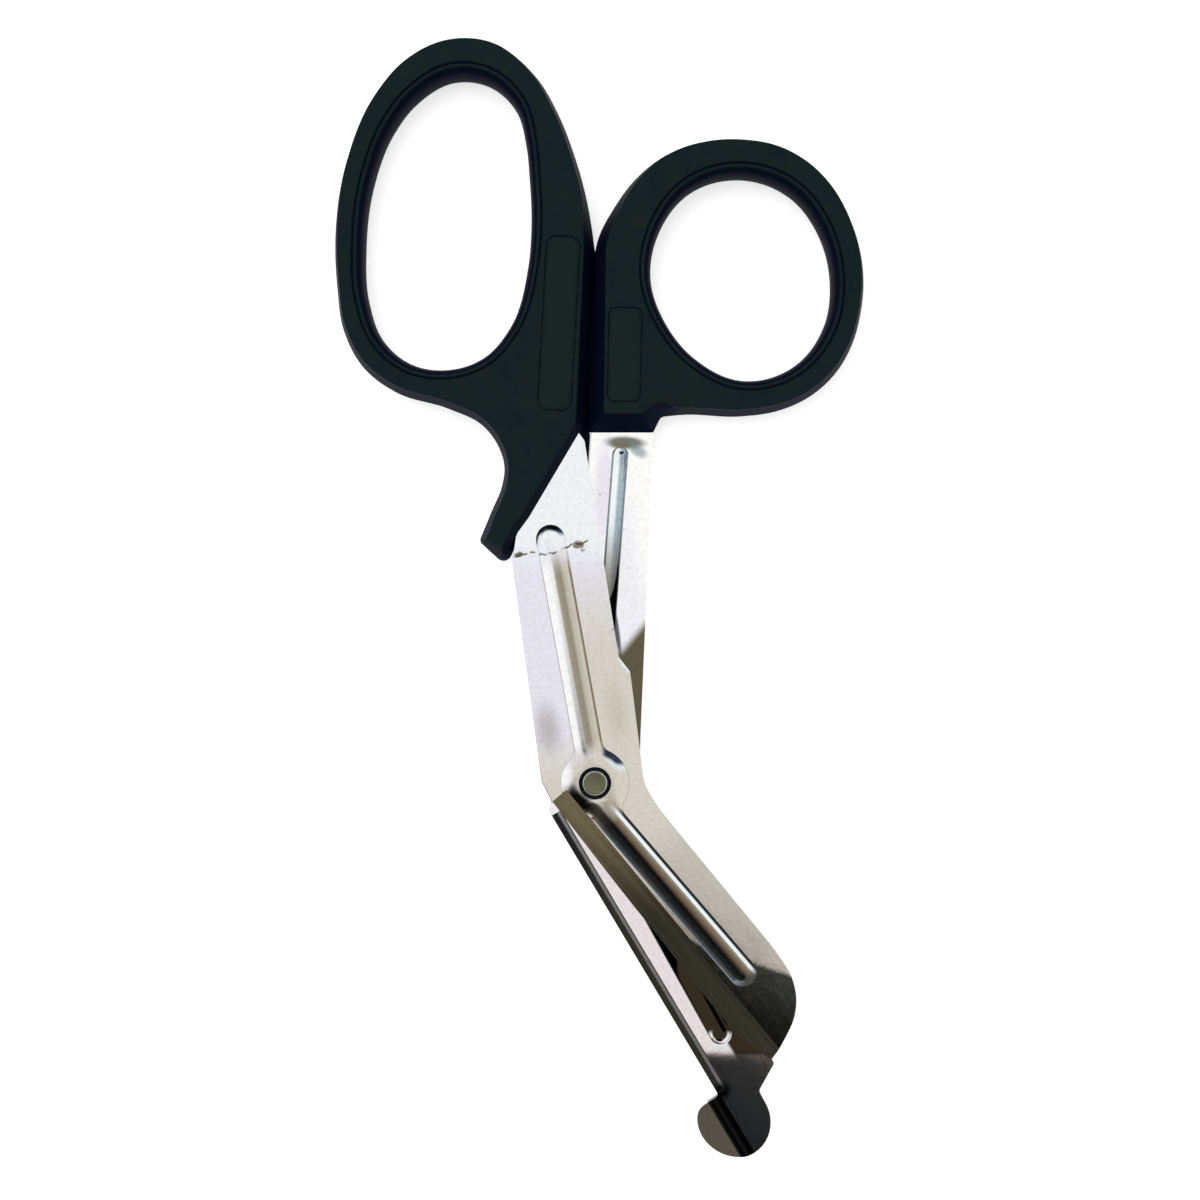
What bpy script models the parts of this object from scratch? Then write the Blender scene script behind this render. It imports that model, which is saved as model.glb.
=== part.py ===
"""Bandage scissors with moulded finger loops, lying flat and closed.

Metres, +Z up. The pivot axis is the Z axis, the blades point along -Y, and the flat head of the
pivot rivet lies on Z = 0 with the undersides of both handles.
"""

import math

import bmesh
import bpy
from mathutils import Vector

MM = 0.001

# Blade sheet, pressed ribs and ground edges
SHEET = 1.5 * MM
BLADE_PLAY = 0.1 * MM
EDGE_BREAK = 0.12 * MM
RIB_HEIGHT = 0.8 * MM
RIB_WALL = 1.0 * MM
BOSS_RADIUS = 5.9 * MM
BOSS_SLOPE = 2.6 * MM
BOSS_FILLET = 2.0 * MM
RIB_SLOPE = 2.0 * MM
GROOVE_TAPER = 0.8 * MM
FRONT_SHANK_RIB = 5.0 * MM
FRONT_SHANK_RIB_END = Vector((-7.5, 41.2)) * MM
FRONT_RIB = 4.85 * MM
FRONT_RIB_TO_TIP = 14.7 * MM
FRONT_RIB_ASIDE = -1.097 * MM
FRONT_RIB_SLANT = 0.8 * MM
REAR_SHANK_RIB = 4.8 * MM
REAR_SHANK_RIB_END = Vector((4.3, 55.6)) * MM
REAR_RIB = 5.7 * MM
REAR_RIB_TO_TIP = 9.0 * MM
REAR_RIB_TO_SPINE = 5.6 * MM
REAR_RIB_SLANT = -1.6 * MM
GRIND_WIDTH = 3.3 * MM
GRIND_LAND = 0.35 * MM
REAR_GRIND_START = 7.0 * MM
SPINE_GRIND_START = 1.0 * MM
SPINE_CHAMFER = 1.5 * MM
SPINE_DEPTH = 0.5 * MM

# Cutting ends of the blades, each along its own straight edge
CUT_LENGTH = 57.5 * MM
FRONT_WIDTH = 13.3 * MM
FRONT_HEEL = Vector((-7.31, -3.23)) * MM
FRONT_TURN = math.radians(-50.55)
EDGE_BELLY = 0.65 * MM
REAR_WIDTH = 11.2 * MM
REAR_SHORTER = 1.0 * MM
REAR_HEEL = Vector((-7.92, -4.9)) * MM
REAR_TURN = math.radians(-59.15)
REAR_LEFT = -1.07 * MM
FOOT_RADIUS = 6.25 * MM
FOOT_REACH = 5.2 * MM
FOOT_BEND = 1.9 * MM
FOOT_TURN = math.radians(27.0)

# Pivot rivet
RIVET_RADIUS = 1.6 * MM
RIVET_PLAY = 0.1 * MM
RIVET_END_RADIUS = 2.1 * MM
SINK_RADIUS = 2.74 * MM
SINK_DEPTH = 0.7 * MM
HEAD_RADIUS = 3.9 * MM
HEAD_ROUND = 0.7 * MM
END_PROUD = 0.1 * MM
END_CHAMFER = 0.2 * MM

# Moulded handles
HANDLE_THICKNESS = 9.0 * MM
HANDLE_GAP = 0.3 * MM
TANG_GAP = 0.15 * MM
CONTACT_BEVEL = 1.9 * MM
END_BEVEL = 2.9 * MM
LOOP_BEVEL = 0.9 * MM
BEVEL_FADE = 15 * MM
END_FADE = 5 * MM
GUARD_SLOPE = 0.577
FACE_ROUND = 0.3 * MM
CONTACT_TOP = Vector((0.0, 90.1)) * MM
CONTACT_LEAN = 0.0476
LARGE_FOOT = 60.1 * MM
SMALL_FOOT = 59.4 * MM
SMALL_END_SIDE = 9.9 * MM
STOP_LENGTH = 8.3 * MM
STOP_GAP = 0.35 * MM
STOP_DEPTH = 3.6 * MM
STOP_ROOT = 2.0 * MM
LARGE_HOLE_WIDTH = 28.1 * MM
LARGE_HOLE_LENGTH = 49.3 * MM
LARGE_HOLE_FOOT = 69.95 * MM
LARGE_WEB = 10.8 * MM
LARGE_RIM = 5.15 * MM
LARGE_END_RIM = 6.75 * MM
SMALL_HOLE_WIDTH = 30.5 * MM
SMALL_HOLE_LENGTH = 34.4 * MM
SMALL_HOLE_FOOT = 68.1 * MM
SMALL_WEB = 9.45 * MM
SMALL_RIM = 5.7 * MM
SMALL_END_RIM = 6.6 * MM
STEP_WIDTH = 2.0 * MM
GROOVE_DEPTH = 0.35 * MM
GROOVE_WIDTH = 0.3 * MM
RIDGE_WIDTH = 0.55 * MM
RIDGE_DROP = 0.1 * MM
BEAD_DROP = 0.8 * MM

# Fineness of the curves
CURVE_STEP = 2.4 * MM
ROUND_STEPS = 5
CIRCLE_STEPS = 48
THROUGH = 1.0 * MM

MID_PLANE = HANDLE_THICKNESS / 2
CREST = SHEET + RIB_HEIGHT


def clear_scene():
    for obj in list(bpy.data.objects):
        bpy.data.objects.remove(obj, do_unlink=True)


def collection(name):
    made = bpy.data.collections.new(name)
    bpy.context.scene.collection.children.link(made)
    return made


def steel(name, colour, roughness):
    return principled(name, colour, roughness, 1.0)


def plastic(name, colour, roughness):
    return principled(name, colour, roughness, 0.0)


def principled(name, colour, roughness, metallic):
    material = bpy.data.materials.new(name)
    material.use_nodes = True
    shader = material.node_tree.nodes["Principled BSDF"]
    shader.inputs["Base Color"].default_value = (*colour, 1.0)
    shader.inputs["Roughness"].default_value = roughness
    shader.inputs["Metallic"].default_value = metallic
    return material


# Outlines: a path is a counter-clockwise list of nodes. (point, None) lies on a smooth curve, and
# (point, radius) is a corner rounded to that radius, with straight runs between corners.


def mm(*nodes):
    """Path nodes from (x, y) or (x, y, corner radius) in millimetres."""
    made = []
    for node in nodes:
        radius = node[2] * MM if len(node) == 3 else None
        made.append((Vector(node[:2]) * MM, radius))
    return made


def scaled(centre, half_width, half_length, shape):
    """Smooth nodes of a shape drawn in units of its half sizes."""
    return [(Vector((centre.x + x * half_width, centre.y + y * half_length)), None) for x, y in shape]


def mapped(origin, turn, points):
    """Points given along and across a line that leaves the origin at an angle."""
    along = Vector((math.cos(turn), math.sin(turn)))
    across = Vector((-along.y, along.x))
    return [origin + along * point[0] + across * point[1] for point in points]


def in_frame(origin, turn, nodes):
    """The same for path nodes."""
    places = mapped(origin, turn, [point for point, _ in nodes])
    return [(place, radius) for place, (_, radius) in zip(places, nodes)]


def tangent_at(path, index):
    """Unit direction of the curve at a smooth node, as on the circle through its neighbours."""
    before = path[index][0] - path[index - 1][0]
    after = path[(index + 1) % len(path)][0] - path[index][0]
    return (before.normalized() * after.length + after.normalized() * before.length).normalized()


def flattened(path):
    """The path as a polyline: a list of (point, corner radius or None)."""
    made = []
    for index, (start, radius) in enumerate(path):
        end, end_radius = path[(index + 1) % len(path)]
        run = end - start
        made.append((start, radius))
        if radius is not None and end_radius is not None:
            continue
        leave = run.normalized() if radius is not None else tangent_at(path, index)
        arrive = run.normalized() if end_radius is not None else tangent_at(path, (index + 1) % len(path))
        first = start + leave * run.length * 0.34
        second = end - arrive * run.length * 0.34
        steps = max(2, round(run.length / CURVE_STEP))
        for step in range(1, steps):
            t = step / steps
            s = 1 - t
            made.append((start * s**3 + first * 3 * s * s * t + second * 3 * s * t * t + end * t**3, None))
    return made


def ring(line, depth_at):
    """The polyline moved inwards by depth_at(point), its marked corners rounded by arcs."""
    count = len(line)
    moved = []
    for index, (point, _) in enumerate(line):
        before = (point - line[index - 1][0]).normalized()
        after = (line[(index + 1) % count][0] - point).normalized()
        inward = Vector((-before.y - after.y, before.x + after.x)) / (1 + before.dot(after))
        moved.append(point + inward * depth_at(point))
    made = []
    for index, (point, radius) in enumerate(line):
        if not radius:
            made.append(moved[index])
            continue
        before = (moved[index] - moved[index - 1]).normalized()
        after = (moved[(index + 1) % count] - moved[index]).normalized()
        turn = before.cross(after)
        kept = max(radius - math.copysign(depth_at(point), turn), 0.05 * MM)
        made.extend(corner_arc(moved[index], before, after, kept))
    return made


def corner_arc(corner, before, after, radius):
    """Points of the arc that rounds a corner between two directions."""
    half = before.angle(after) / 2
    side = math.copysign(1, before.cross(after))
    centre = corner - before * radius * math.tan(half) + Vector((-before.y, before.x)) * side * radius
    first = math.atan2(before.y, before.x) - side * math.pi / 2
    points = []
    for step in range(ROUND_STEPS + 1):
        angle = first + side * 2 * half * step / ROUND_STEPS
        points.append(centre + Vector((math.cos(angle), math.sin(angle))) * radius)
    return points


def circle(radius, centre=Vector((0, 0))):
    """A closed round path as a polyline."""
    turns = [2 * math.pi * step / CIRCLE_STEPS for step in range(CIRCLE_STEPS)]
    return [(centre + Vector((math.cos(turn), math.sin(turn))) * radius, None) for turn in turns]


def swept(centre, start, end, side, steps):
    """Points of the arc about a centre from one point to another; side is 1 counter-clockwise."""
    first = math.atan2(start.y - centre.y, start.x - centre.x)
    turn = math.atan2(end.y - centre.y, end.x - centre.x) - first
    turn = side * ((side * turn) % (2 * math.pi))
    reach = (start - centre).length
    made = []
    for step in range(steps + 1):
        angle = first + turn * step / steps
        made.append(centre + Vector((math.cos(angle), math.sin(angle))) * reach)
    return made


def pressing(ribs):
    """One closed outline round the boss and the ribs that run out of it.

    A rib is (a point on its axis, the centre of its end, its width), in counter-clockwise order.
    A fillet leads from each of its sides into the boss.
    """
    pivot = Vector((0, 0))
    runs = []
    for start, end, width in ribs:
        along = (end - start).normalized()
        feet = []
        for side in (-1, 1):
            outward = Vector((-along.y, along.x)) * side
            aside = end.dot(outward) + width / 2 + BOSS_FILLET
            centre = outward * aside + along * math.sqrt((BOSS_RADIUS + BOSS_FILLET) ** 2 - aside**2)
            on_boss = centre * BOSS_RADIUS / (BOSS_RADIUS + BOSS_FILLET)
            on_rib = centre - outward * BOSS_FILLET
            pair = (on_boss, on_rib) if side < 0 else (on_rib, on_boss)
            feet.append(swept(centre, *pair, -1, ROUND_STEPS))
        across = Vector((-along.y, along.x)) * width / 2
        cap = swept(end, end - across, end + across, 1, CIRCLE_STEPS // 3)
        runs.append(feet[0] + cap + feet[1])
    made = []
    for index, run in enumerate(runs):
        after = runs[(index + 1) % len(runs)][0]
        made += run + swept(pivot, run[-1], after, 1, CIRCLE_STEPS // 3)[1:-1]
    return [(point, None) for point in made]


# Solids


def stacked(name, line, levels, home, material=None):
    """A closed solid through copies of one outline. A level is (function of inset, height)."""
    shell = bmesh.new()
    rings = [[shell.verts.new((*point, height)) for point in ring(line, depth)] for depth, height in levels]
    for lower, upper in zip(rings, rings[1:]):
        for index in range(len(lower)):
            after = (index + 1) % len(lower)
            shell.faces.new((lower[index], lower[after], upper[after], upper[index]))
    shell.faces.new(rings[0])
    shell.faces.new(rings[-1])
    bmesh.ops.recalc_face_normals(shell, faces=shell.faces)
    return finished(name, shell, home, material)


def finished(name, shell, home, material=None):
    """The object made from a bmesh, placed in its collection."""
    data = bpy.data.meshes.new(name)
    shell.to_mesh(data)
    shell.free()
    obj = bpy.data.objects.new(name, data)
    home.objects.link(obj)
    if material:
        data.materials.append(material)
    return obj


def even(depth):
    """The same inset all round."""
    return lambda point: depth


def boolean(target, tool, operation):
    """Joins or cuts the target with another object, which becomes a hidden helper."""
    tool.hide_render = True
    tool.display_type = "WIRE"
    step = target.modifiers.new(tool.name, "BOOLEAN")
    step.operation = operation
    step.solver = "EXACT"
    step.object = tool


def shade(obj):
    obj.data.shade_smooth()
    obj.data.set_sharp_from_angle(angle=math.radians(25))


# Blades. Each is drawn with heights above its inner face, then set on its own side of the mid-plane.


class Side:
    """Heights of one blade: up for the front blade, down for the rear one."""

    def __init__(self, name, direction):
        self.name = name
        self.direction = direction

    def at(self, height):
        return MID_PLANE + self.direction * (BLADE_PLAY / 2 + height)


def sheet(side, path, home, material):
    """The flat blank of a blade, its edges broken."""
    levels = [
        (even(EDGE_BREAK), side.at(0)),
        (even(0), side.at(EDGE_BREAK)),
        (even(0), side.at(SHEET - EDGE_BREAK)),
        (even(EDGE_BREAK), side.at(SHEET)),
    ]
    return stacked(side.name, flattened(path), levels, home, material)


def side_width(point):
    """How wide the sloping side of a pressing is: wider round the boss than along a rib."""
    return blended(BOSS_SLOPE, RIB_SLOPE, (point.length - BOSS_RADIUS) / (BOSS_FILLET / 2))


def bulge(name, side, line, start, base, home):
    """A pressed form that rises steeply from its foot and rounds over to the crest."""
    sunk = base - THROUGH if base == 0 else base - SHEET / 2
    taper = GROOVE_TAPER if base == 0 else 0
    levels = [(even(start), side.at(sunk))]
    for share in (0.0, 0.13, 0.27, 0.42, 0.58, 0.77, 1.0):
        rise = RIB_HEIGHT * math.sin(math.pi / 2 * share)
        depth = lambda point, share=share: start + (side_width(point) - taper) * share
        levels.append((depth, side.at(base + rise)))
    return stacked(name, line, levels, home)


def press(blade, side, ribs, helpers):
    """Raises boss and ribs on the outer face, sinks their hollows into the inner one, and drills."""
    line = pressing(ribs)
    boolean(blade, bulge(f"{side.name}_ribs", side, line, 0, SHEET, helpers), "UNION")
    boolean(blade, bulge(f"{side.name}_hollow", side, line, RIB_WALL, 0, helpers), "DIFFERENCE")
    bore = RIVET_RADIUS + RIVET_PLAY
    hole = drum(f"{side.name}_hole", bore, side.at(-THROUGH), side.at(CREST + THROUGH), helpers)
    boolean(blade, hole, "DIFFERENCE")


def drum(name, radius, low, high, home):
    """A round cutter on the pivot axis."""
    return stacked(name, circle(radius), [(even(0), low), (even(0), high)], home)


def grind(name, side, origin, turn, start, stop, profile, home):
    """A cutter of constant profile, given as (across, height), run along a line from start to stop."""
    along = Vector((math.cos(turn), math.sin(turn)))
    across = Vector((-along.y, along.x))
    shell = bmesh.new()
    corners = []
    for reach, height in profile:
        place = origin + along * start + across * reach
        corners.append(shell.verts.new((*place, side.at(height))))
    face = shell.faces.new(corners)
    pulled = bmesh.ops.extrude_face_region(shell, geom=[face])["geom"]
    moved = [item for item in pulled if isinstance(item, bmesh.types.BMVert)]
    bmesh.ops.translate(shell, vec=(*(along * (stop - start)), 0), verts=moved)
    bmesh.ops.recalc_face_normals(shell, faces=shell.faces)
    return finished(name, shell, home)


def slope_profile(edge, inward, width, low, high):
    """A ground facet: from height low at the edge to height high at the given width inside it."""
    outside = 2 * MM
    fall = (high - low) / width
    return [
        (edge - inward * outside, low - outside * fall),
        (edge + inward * width, high),
        (edge + inward * width, high + THROUGH),
        (edge - inward * outside, high + THROUGH),
    ]


def front_outline():
    """Heel, cutting edge, nose, spine, shank and tang of the front blade."""
    cutting_end = mm(
        (0.0, 0.0, 0.0),
        (CUT_LENGTH / MM / 2, -EDGE_BELLY / MM),
        (CUT_LENGTH / MM - 3.0, 0.0),
        (CUT_LENGTH / MM, 0.9, 0.4),
        (CUT_LENGTH / MM - 0.55, 2.6),
        (CUT_LENGTH / MM - 1.6, FRONT_WIDTH / MM - 8.0),
        (CUT_LENGTH / MM - 3.1, FRONT_WIDTH / MM - 5.0),
        (CUT_LENGTH / MM - 5.2, FRONT_WIDTH / MM - 2.7),
        (CUT_LENGTH / MM - 9.0, FRONT_WIDTH / MM - 0.7),
        (CUT_LENGTH / MM - 14.2, FRONT_WIDTH / MM, 0.0),
        (16.5, FRONT_WIDTH / MM, 0.0),
    )
    upper = mm(
        (10.0, -2.95),
        (8.55, -0.3),
        (7.8, 4.0, 0.0),
        (5.95, 18.8, 1.2),
        (4.0, 21.3, 1.2),
        (-1.75, 57.9, 0.4),
        (-3.7, 60.6, 0.8),
        (-3.1, 88.0, 2.0),
        (-8.0, 88.0, 2.0),
        (-9.0, 58.5, 6.0),
        (-13.4, 41.6, 2.0),
        (-14.06, 37.23, 0.5),
        (-9.06, 0.2, 1.5),
    )
    return in_frame(FRONT_HEEL, FRONT_TURN, cutting_end) + upper


def rear_length():
    """Where the rear blade's sheet ends, a little short of the front blade's tip."""
    return CUT_LENGTH - REAR_SHORTER


def rear_outline():
    """Spine, probe foot, tip, cutting edge, shank and tang of the rear blade."""
    length = rear_length() / MM
    width = REAR_WIDTH / MM
    foot = Vector((rear_length() + FOOT_REACH, 0))
    toe = mm((0.0, 0.0, 0.3), (length - 0.2, 0.0, 0.5))
    for degrees in range(-132, 93, 25):
        angle = math.radians(degrees)
        toe.append((foot + Vector((math.cos(angle), math.sin(angle))) * FOOT_RADIUS, None))
    tip = mm(
        (length + 2.7, FOOT_RADIUS / MM + 0.2, 0.8),
        (length + 0.1, width - 0.2, 0.4),
        (length - 2.2, width, 0.0),
        (6.0, width, 1.5),
    )
    upper = mm(
        (7.6, 1.0, 2.0),
        (7.75, 8.1, 0.0),
        (9.95, SMALL_FOOT / MM, 0.5),
        (7.6, 60.6, 0.8),
        (6.4, 84.0, 2.0),
        (1.9, 84.0, 2.0),
        (1.5, 60.6, 0.8),
        (-0.6, SMALL_FOOT / MM, 0.3),
        (REAR_LEFT / MM, 52.87, 2.0),
        (-6.6, 2.0, 3.0),
    )
    return in_frame(REAR_HEEL, REAR_TURN, toe + tip) + upper


def bend_foot(blade, side):
    """Bends the foot down along a line parallel to the spine, as a round bend and then a flat flap."""
    along = Vector((math.cos(REAR_TURN), math.sin(REAR_TURN)))
    across = Vector((-along.y, along.x))
    radius = FOOT_BEND / math.sin(FOOT_TURN)
    shell = bmesh.new()
    shell.from_mesh(blade.data)
    steps = 4
    for step in range(steps + 1):
        cut = REAR_HEEL - across * FOOT_BEND * step / steps
        bmesh.ops.bisect_plane(
            shell, geom=shell.verts[:] + shell.edges[:] + shell.faces[:],
            plane_co=(*cut, 0), plane_no=(*across, 0), dist=1e-6,
        )
    for vert in shell.verts:
        beyond = -(vert.co.xy - REAR_HEEL).dot(across)
        if beyond <= 0:
            continue
        turned = min(beyond, FOOT_BEND)
        drop = radius - math.sqrt(radius**2 - turned**2)
        drop += (beyond - turned) * math.tan(FOOT_TURN)
        vert.co.z += side.direction * drop
    shell.to_mesh(blade.data)
    shell.free()


def make_front_blade(home, helpers, material):
    side = Side("front_blade", 1)
    blade = sheet(side, front_outline(), home, material)
    past_pivot = FRONT_HEEL.dot(Vector((math.cos(FRONT_TURN), math.sin(FRONT_TURN))))
    rib_start, rib_end = mapped(Vector((0, 0)), FRONT_TURN, [
        (past_pivot + BOSS_RADIUS, FRONT_RIB_ASIDE - FRONT_RIB_SLANT),
        (past_pivot + CUT_LENGTH - FRONT_RIB_TO_TIP, FRONT_RIB_ASIDE),
    ])
    press(blade, side, [
        (Vector((0, 0)), FRONT_SHANK_RIB_END, FRONT_SHANK_RIB),
        (rib_start, rib_end, FRONT_RIB),
    ], helpers)
    floor = side.at(CREST - SINK_DEPTH)
    sink = drum("front_blade_sink", SINK_RADIUS, floor, side.at(CREST + THROUGH), helpers)
    boolean(blade, sink, "DIFFERENCE")
    profile = slope_profile(0, 1, GRIND_WIDTH, GRIND_LAND, SHEET)
    cutter = grind(
        "front_blade_grind", side, FRONT_HEEL, FRONT_TURN, 0, CUT_LENGTH + 2 * THROUGH, profile, helpers
    )
    boolean(blade, cutter, "DIFFERENCE")
    shade(blade)
    return blade


def make_rear_blade(home, helpers, material):
    side = Side("rear_blade", -1)
    blade = sheet(side, rear_outline(), home, material)
    bend_foot(blade, side)
    rib_start, rib_end = mapped(REAR_HEEL, REAR_TURN, [
        (0, REAR_RIB_TO_SPINE - REAR_RIB_SLANT),
        (rear_length() - REAR_RIB_TO_TIP, REAR_RIB_TO_SPINE),
    ])
    press(blade, side, [
        (Vector((0, 0)), REAR_SHANK_RIB_END, REAR_SHANK_RIB),
        (rib_start, rib_end, REAR_RIB),
    ], helpers)
    profile = slope_profile(REAR_WIDTH, -1, GRIND_WIDTH, GRIND_LAND, SHEET)
    cutter = grind(
        "rear_blade_grind", side, REAR_HEEL, REAR_TURN, REAR_GRIND_START, rear_length() + THROUGH,
        profile, helpers,
    )
    boolean(blade, cutter, "DIFFERENCE")
    profile = slope_profile(0, 1, SPINE_CHAMFER, SPINE_DEPTH, 0)
    profile = profile[:2] + [(reach, -THROUGH) for reach, _ in profile[2:]]
    cutter = grind(
        "rear_blade_spine", side, REAR_HEEL, REAR_TURN, SPINE_GRIND_START,
        rear_length() - SPINE_GRIND_START / 2, profile, helpers,
    )
    boolean(blade, cutter, "DIFFERENCE")
    shade(blade)
    return blade


def make_rivet(home, material):
    """The rivet as one turned profile: flat head below, shank, and formed end in its sink."""
    head_top = MID_PLANE - BLADE_PLAY / 2 - CREST - RIVET_PLAY
    end_low = MID_PLANE + BLADE_PLAY / 2 + CREST - SINK_DEPTH + RIVET_PLAY
    end_high = MID_PLANE + BLADE_PLAY / 2 + CREST + END_PROUD
    profile = [(0, end_high), (RIVET_END_RADIUS - END_CHAMFER, end_high)]
    profile += [(RIVET_END_RADIUS, end_high - END_CHAMFER), (RIVET_END_RADIUS, end_low)]
    profile += [(RIVET_RADIUS, end_low), (RIVET_RADIUS, head_top)]
    for step in range(ROUND_STEPS + 1):
        turn = math.pi / 2 * (1 - step / ROUND_STEPS)
        profile.append((
            HEAD_RADIUS - HEAD_ROUND + HEAD_ROUND * math.cos(turn),
            head_top - HEAD_ROUND + HEAD_ROUND * math.sin(turn),
        ))
    profile += [(HEAD_RADIUS, END_CHAMFER), (HEAD_RADIUS - END_CHAMFER, 0), (0, 0)]
    data = bpy.data.meshes.new("pivot_rivet")
    edges = [(index, index + 1) for index in range(len(profile) - 1)]
    data.from_pydata([(reach, 0, height) for reach, height in profile], edges, [])
    rivet = bpy.data.objects.new("pivot_rivet", data)
    home.objects.link(rivet)
    data.materials.append(material)
    turned = rivet.modifiers.new("turned", "SCREW")
    turned.steps = CIRCLE_STEPS
    turned.render_steps = CIRCLE_STEPS
    turned.use_merge_vertices = True
    turned.merge_threshold = 0.00001
    turned.use_smooth_shade = True
    return rivet


# Handles

LARGE_HOLE = [
    (1.0, 0.0), (0.977, 0.325), (0.94, 0.54), (0.806, 0.80), (0.458, 0.973), (0.1, 1.0),
    (-0.393, 0.845), (-0.654, 0.652), (-0.896, 0.30), (-1.0, -0.15), (-0.958, -0.544),
    (-0.799, -0.788), (-0.45, -0.96), (0.0, -1.0), (0.434, -0.916), (0.736, -0.72), (0.956, -0.31),
]
LARGE_OUTSIDE = [
    (0.973, 0.597), (0.764, 0.81), (0.427, 0.973), (0.0, 0.994), (-0.384, 0.883), (-0.654, 0.697),
    (-0.915, 0.326), (-1.0, 0.0), (-0.986, -0.345), (-0.931, -0.567), (-0.739, -0.781), (-0.461, -0.905),
]
SMALL_HOLE = [
    (1.0, 0.0), (0.877, 0.445), (0.551, 0.828), (0.014, 1.0), (-0.55, 0.869), (-0.904, 0.472),
    (-1.0, 0.0), (-0.836, -0.433), (-0.502, -0.79), (0.014, -1.0), (0.579, -0.866), (0.928, -0.466),
]
SMALL_OUTSIDE = [
    (-0.4725, -0.962), (0.01, -0.973), (0.295, -0.936), (0.558, -0.835), (0.77, -0.668),
    (0.909, -0.455), (0.978, -0.226), (1.0, 0.0), (0.968, 0.228), (0.886, 0.447), (0.751, 0.655),
    (0.554, 0.831), (0.299, 0.952), (0.01, 0.998), (-0.289, 0.985), (-0.581, 0.903), (-0.83, 0.74),
]


def large_centre():
    return Vector((-LARGE_WEB - LARGE_HOLE_WIDTH / 2, LARGE_HOLE_FOOT + LARGE_HOLE_LENGTH / 2))


def small_centre():
    return Vector((SMALL_WEB + SMALL_HOLE_WIDTH / 2, SMALL_HOLE_FOOT + SMALL_HOLE_LENGTH / 2))


def contact_at(height, side):
    """The point at a height on one handle's half of the contact line: side is -1 or 1."""
    lean = (height - CONTACT_TOP.y) * CONTACT_LEAN
    return Vector((CONTACT_TOP.x + lean + side * HANDLE_GAP / 2, height))


def large_outline():
    """Contact edge, outside of the loop, guard and the slanted end over the shank."""
    contact = [(contact_at(LARGE_FOOT, -1), 0.5 * MM), (contact_at(CONTACT_TOP.y, -1), 0.0)]
    half_width = LARGE_HOLE_WIDTH / 2 + LARGE_RIM
    half_length = LARGE_HOLE_LENGTH / 2 + LARGE_END_RIM
    loop = scaled(large_centre(), half_width, half_length, LARGE_OUTSIDE)
    guard = mm(
        (-24.8, 63.4), (-19.0, 60.5), (-16.6, 57.4), (-15.4, 53.6), (-15.9, 50.0), (-17.5, 46.2, 0.0),
        (-19.7, 40.9, 1.0), (-15.1, 36.7, 1.4), (-12.5, 42.0, 2.0), (-10.6, 44.6, 1.0),
    )
    upper = mm((-0.62, 94.7), (-1.85, 100.85), (-3.65, 106.93))
    return contact + upper + loop + guard


def small_outline():
    """Square end over the shank, outside of the loop and contact edge."""
    contact = [(contact_at(CONTACT_TOP.y, 1), 0.0), (contact_at(SMALL_FOOT, 1), 0.9 * MM)]
    half_width = SMALL_HOLE_WIDTH / 2 + SMALL_RIM
    half_length = SMALL_HOLE_LENGTH / 2 + SMALL_END_RIM
    loop = scaled(small_centre(), half_width, half_length, SMALL_OUTSIDE)
    end = mm((SMALL_END_SIDE / MM, SMALL_FOOT / MM, 0.4), (11.2, 62.05, 1.1))
    upper = mm((3.37, 97.77), (0.42, 91.91))
    return end + loop + upper + contact


def blended(low, high, share):
    """Between two values along a smooth step."""
    share = min(max(share, 0), 1)
    return low + (high - low) * share * share * (3 - 2 * share)


def large_bevel(point):
    """The wall's slope is wide along the contact edge and the slanted end, narrow round the loop."""
    aside = -point.x - max(0, LARGE_FOOT - point.y) * GUARD_SLOPE
    above = point.y - CONTACT_TOP.y
    return blended(CONTACT_BEVEL, LOOP_BEVEL, max(aside - LARGE_WEB / 4, above) / BEVEL_FADE * 1.5)


def small_bevel(point):
    """The slope is widest at the square end, and narrows up the contact edge and round the loop."""
    contact = blended(END_BEVEL, CONTACT_BEVEL, (point.y - SMALL_FOOT) / (CONTACT_TOP.y - SMALL_FOOT))
    past_end = (point.x - SMALL_END_SIDE) / END_FADE
    past_contact = (point.y - CONTACT_TOP.y) / BEVEL_FADE
    return blended(contact, LOOP_BEVEL, max(past_end, past_contact))


def handle_body(name, path, bevel, home, material):
    """The handle's solid outside, with walls sloping from the parting line to both faces."""
    half = HANDLE_THICKNESS / 2
    wall = [
        (lambda point: bevel(point) + FACE_ROUND, half),
        (lambda point: bevel(point), half - FACE_ROUND / 3),
        (lambda point: bevel(point) - FACE_ROUND / 3, half - FACE_ROUND),
        (even(0), 0.1 * MM),
    ]
    levels = [(depth, MID_PLANE - height) for depth, height in wall]
    levels += [(depth, MID_PLANE + height) for depth, height in reversed(wall)]
    return stacked(name, flattened(path), levels, home, material)


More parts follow.
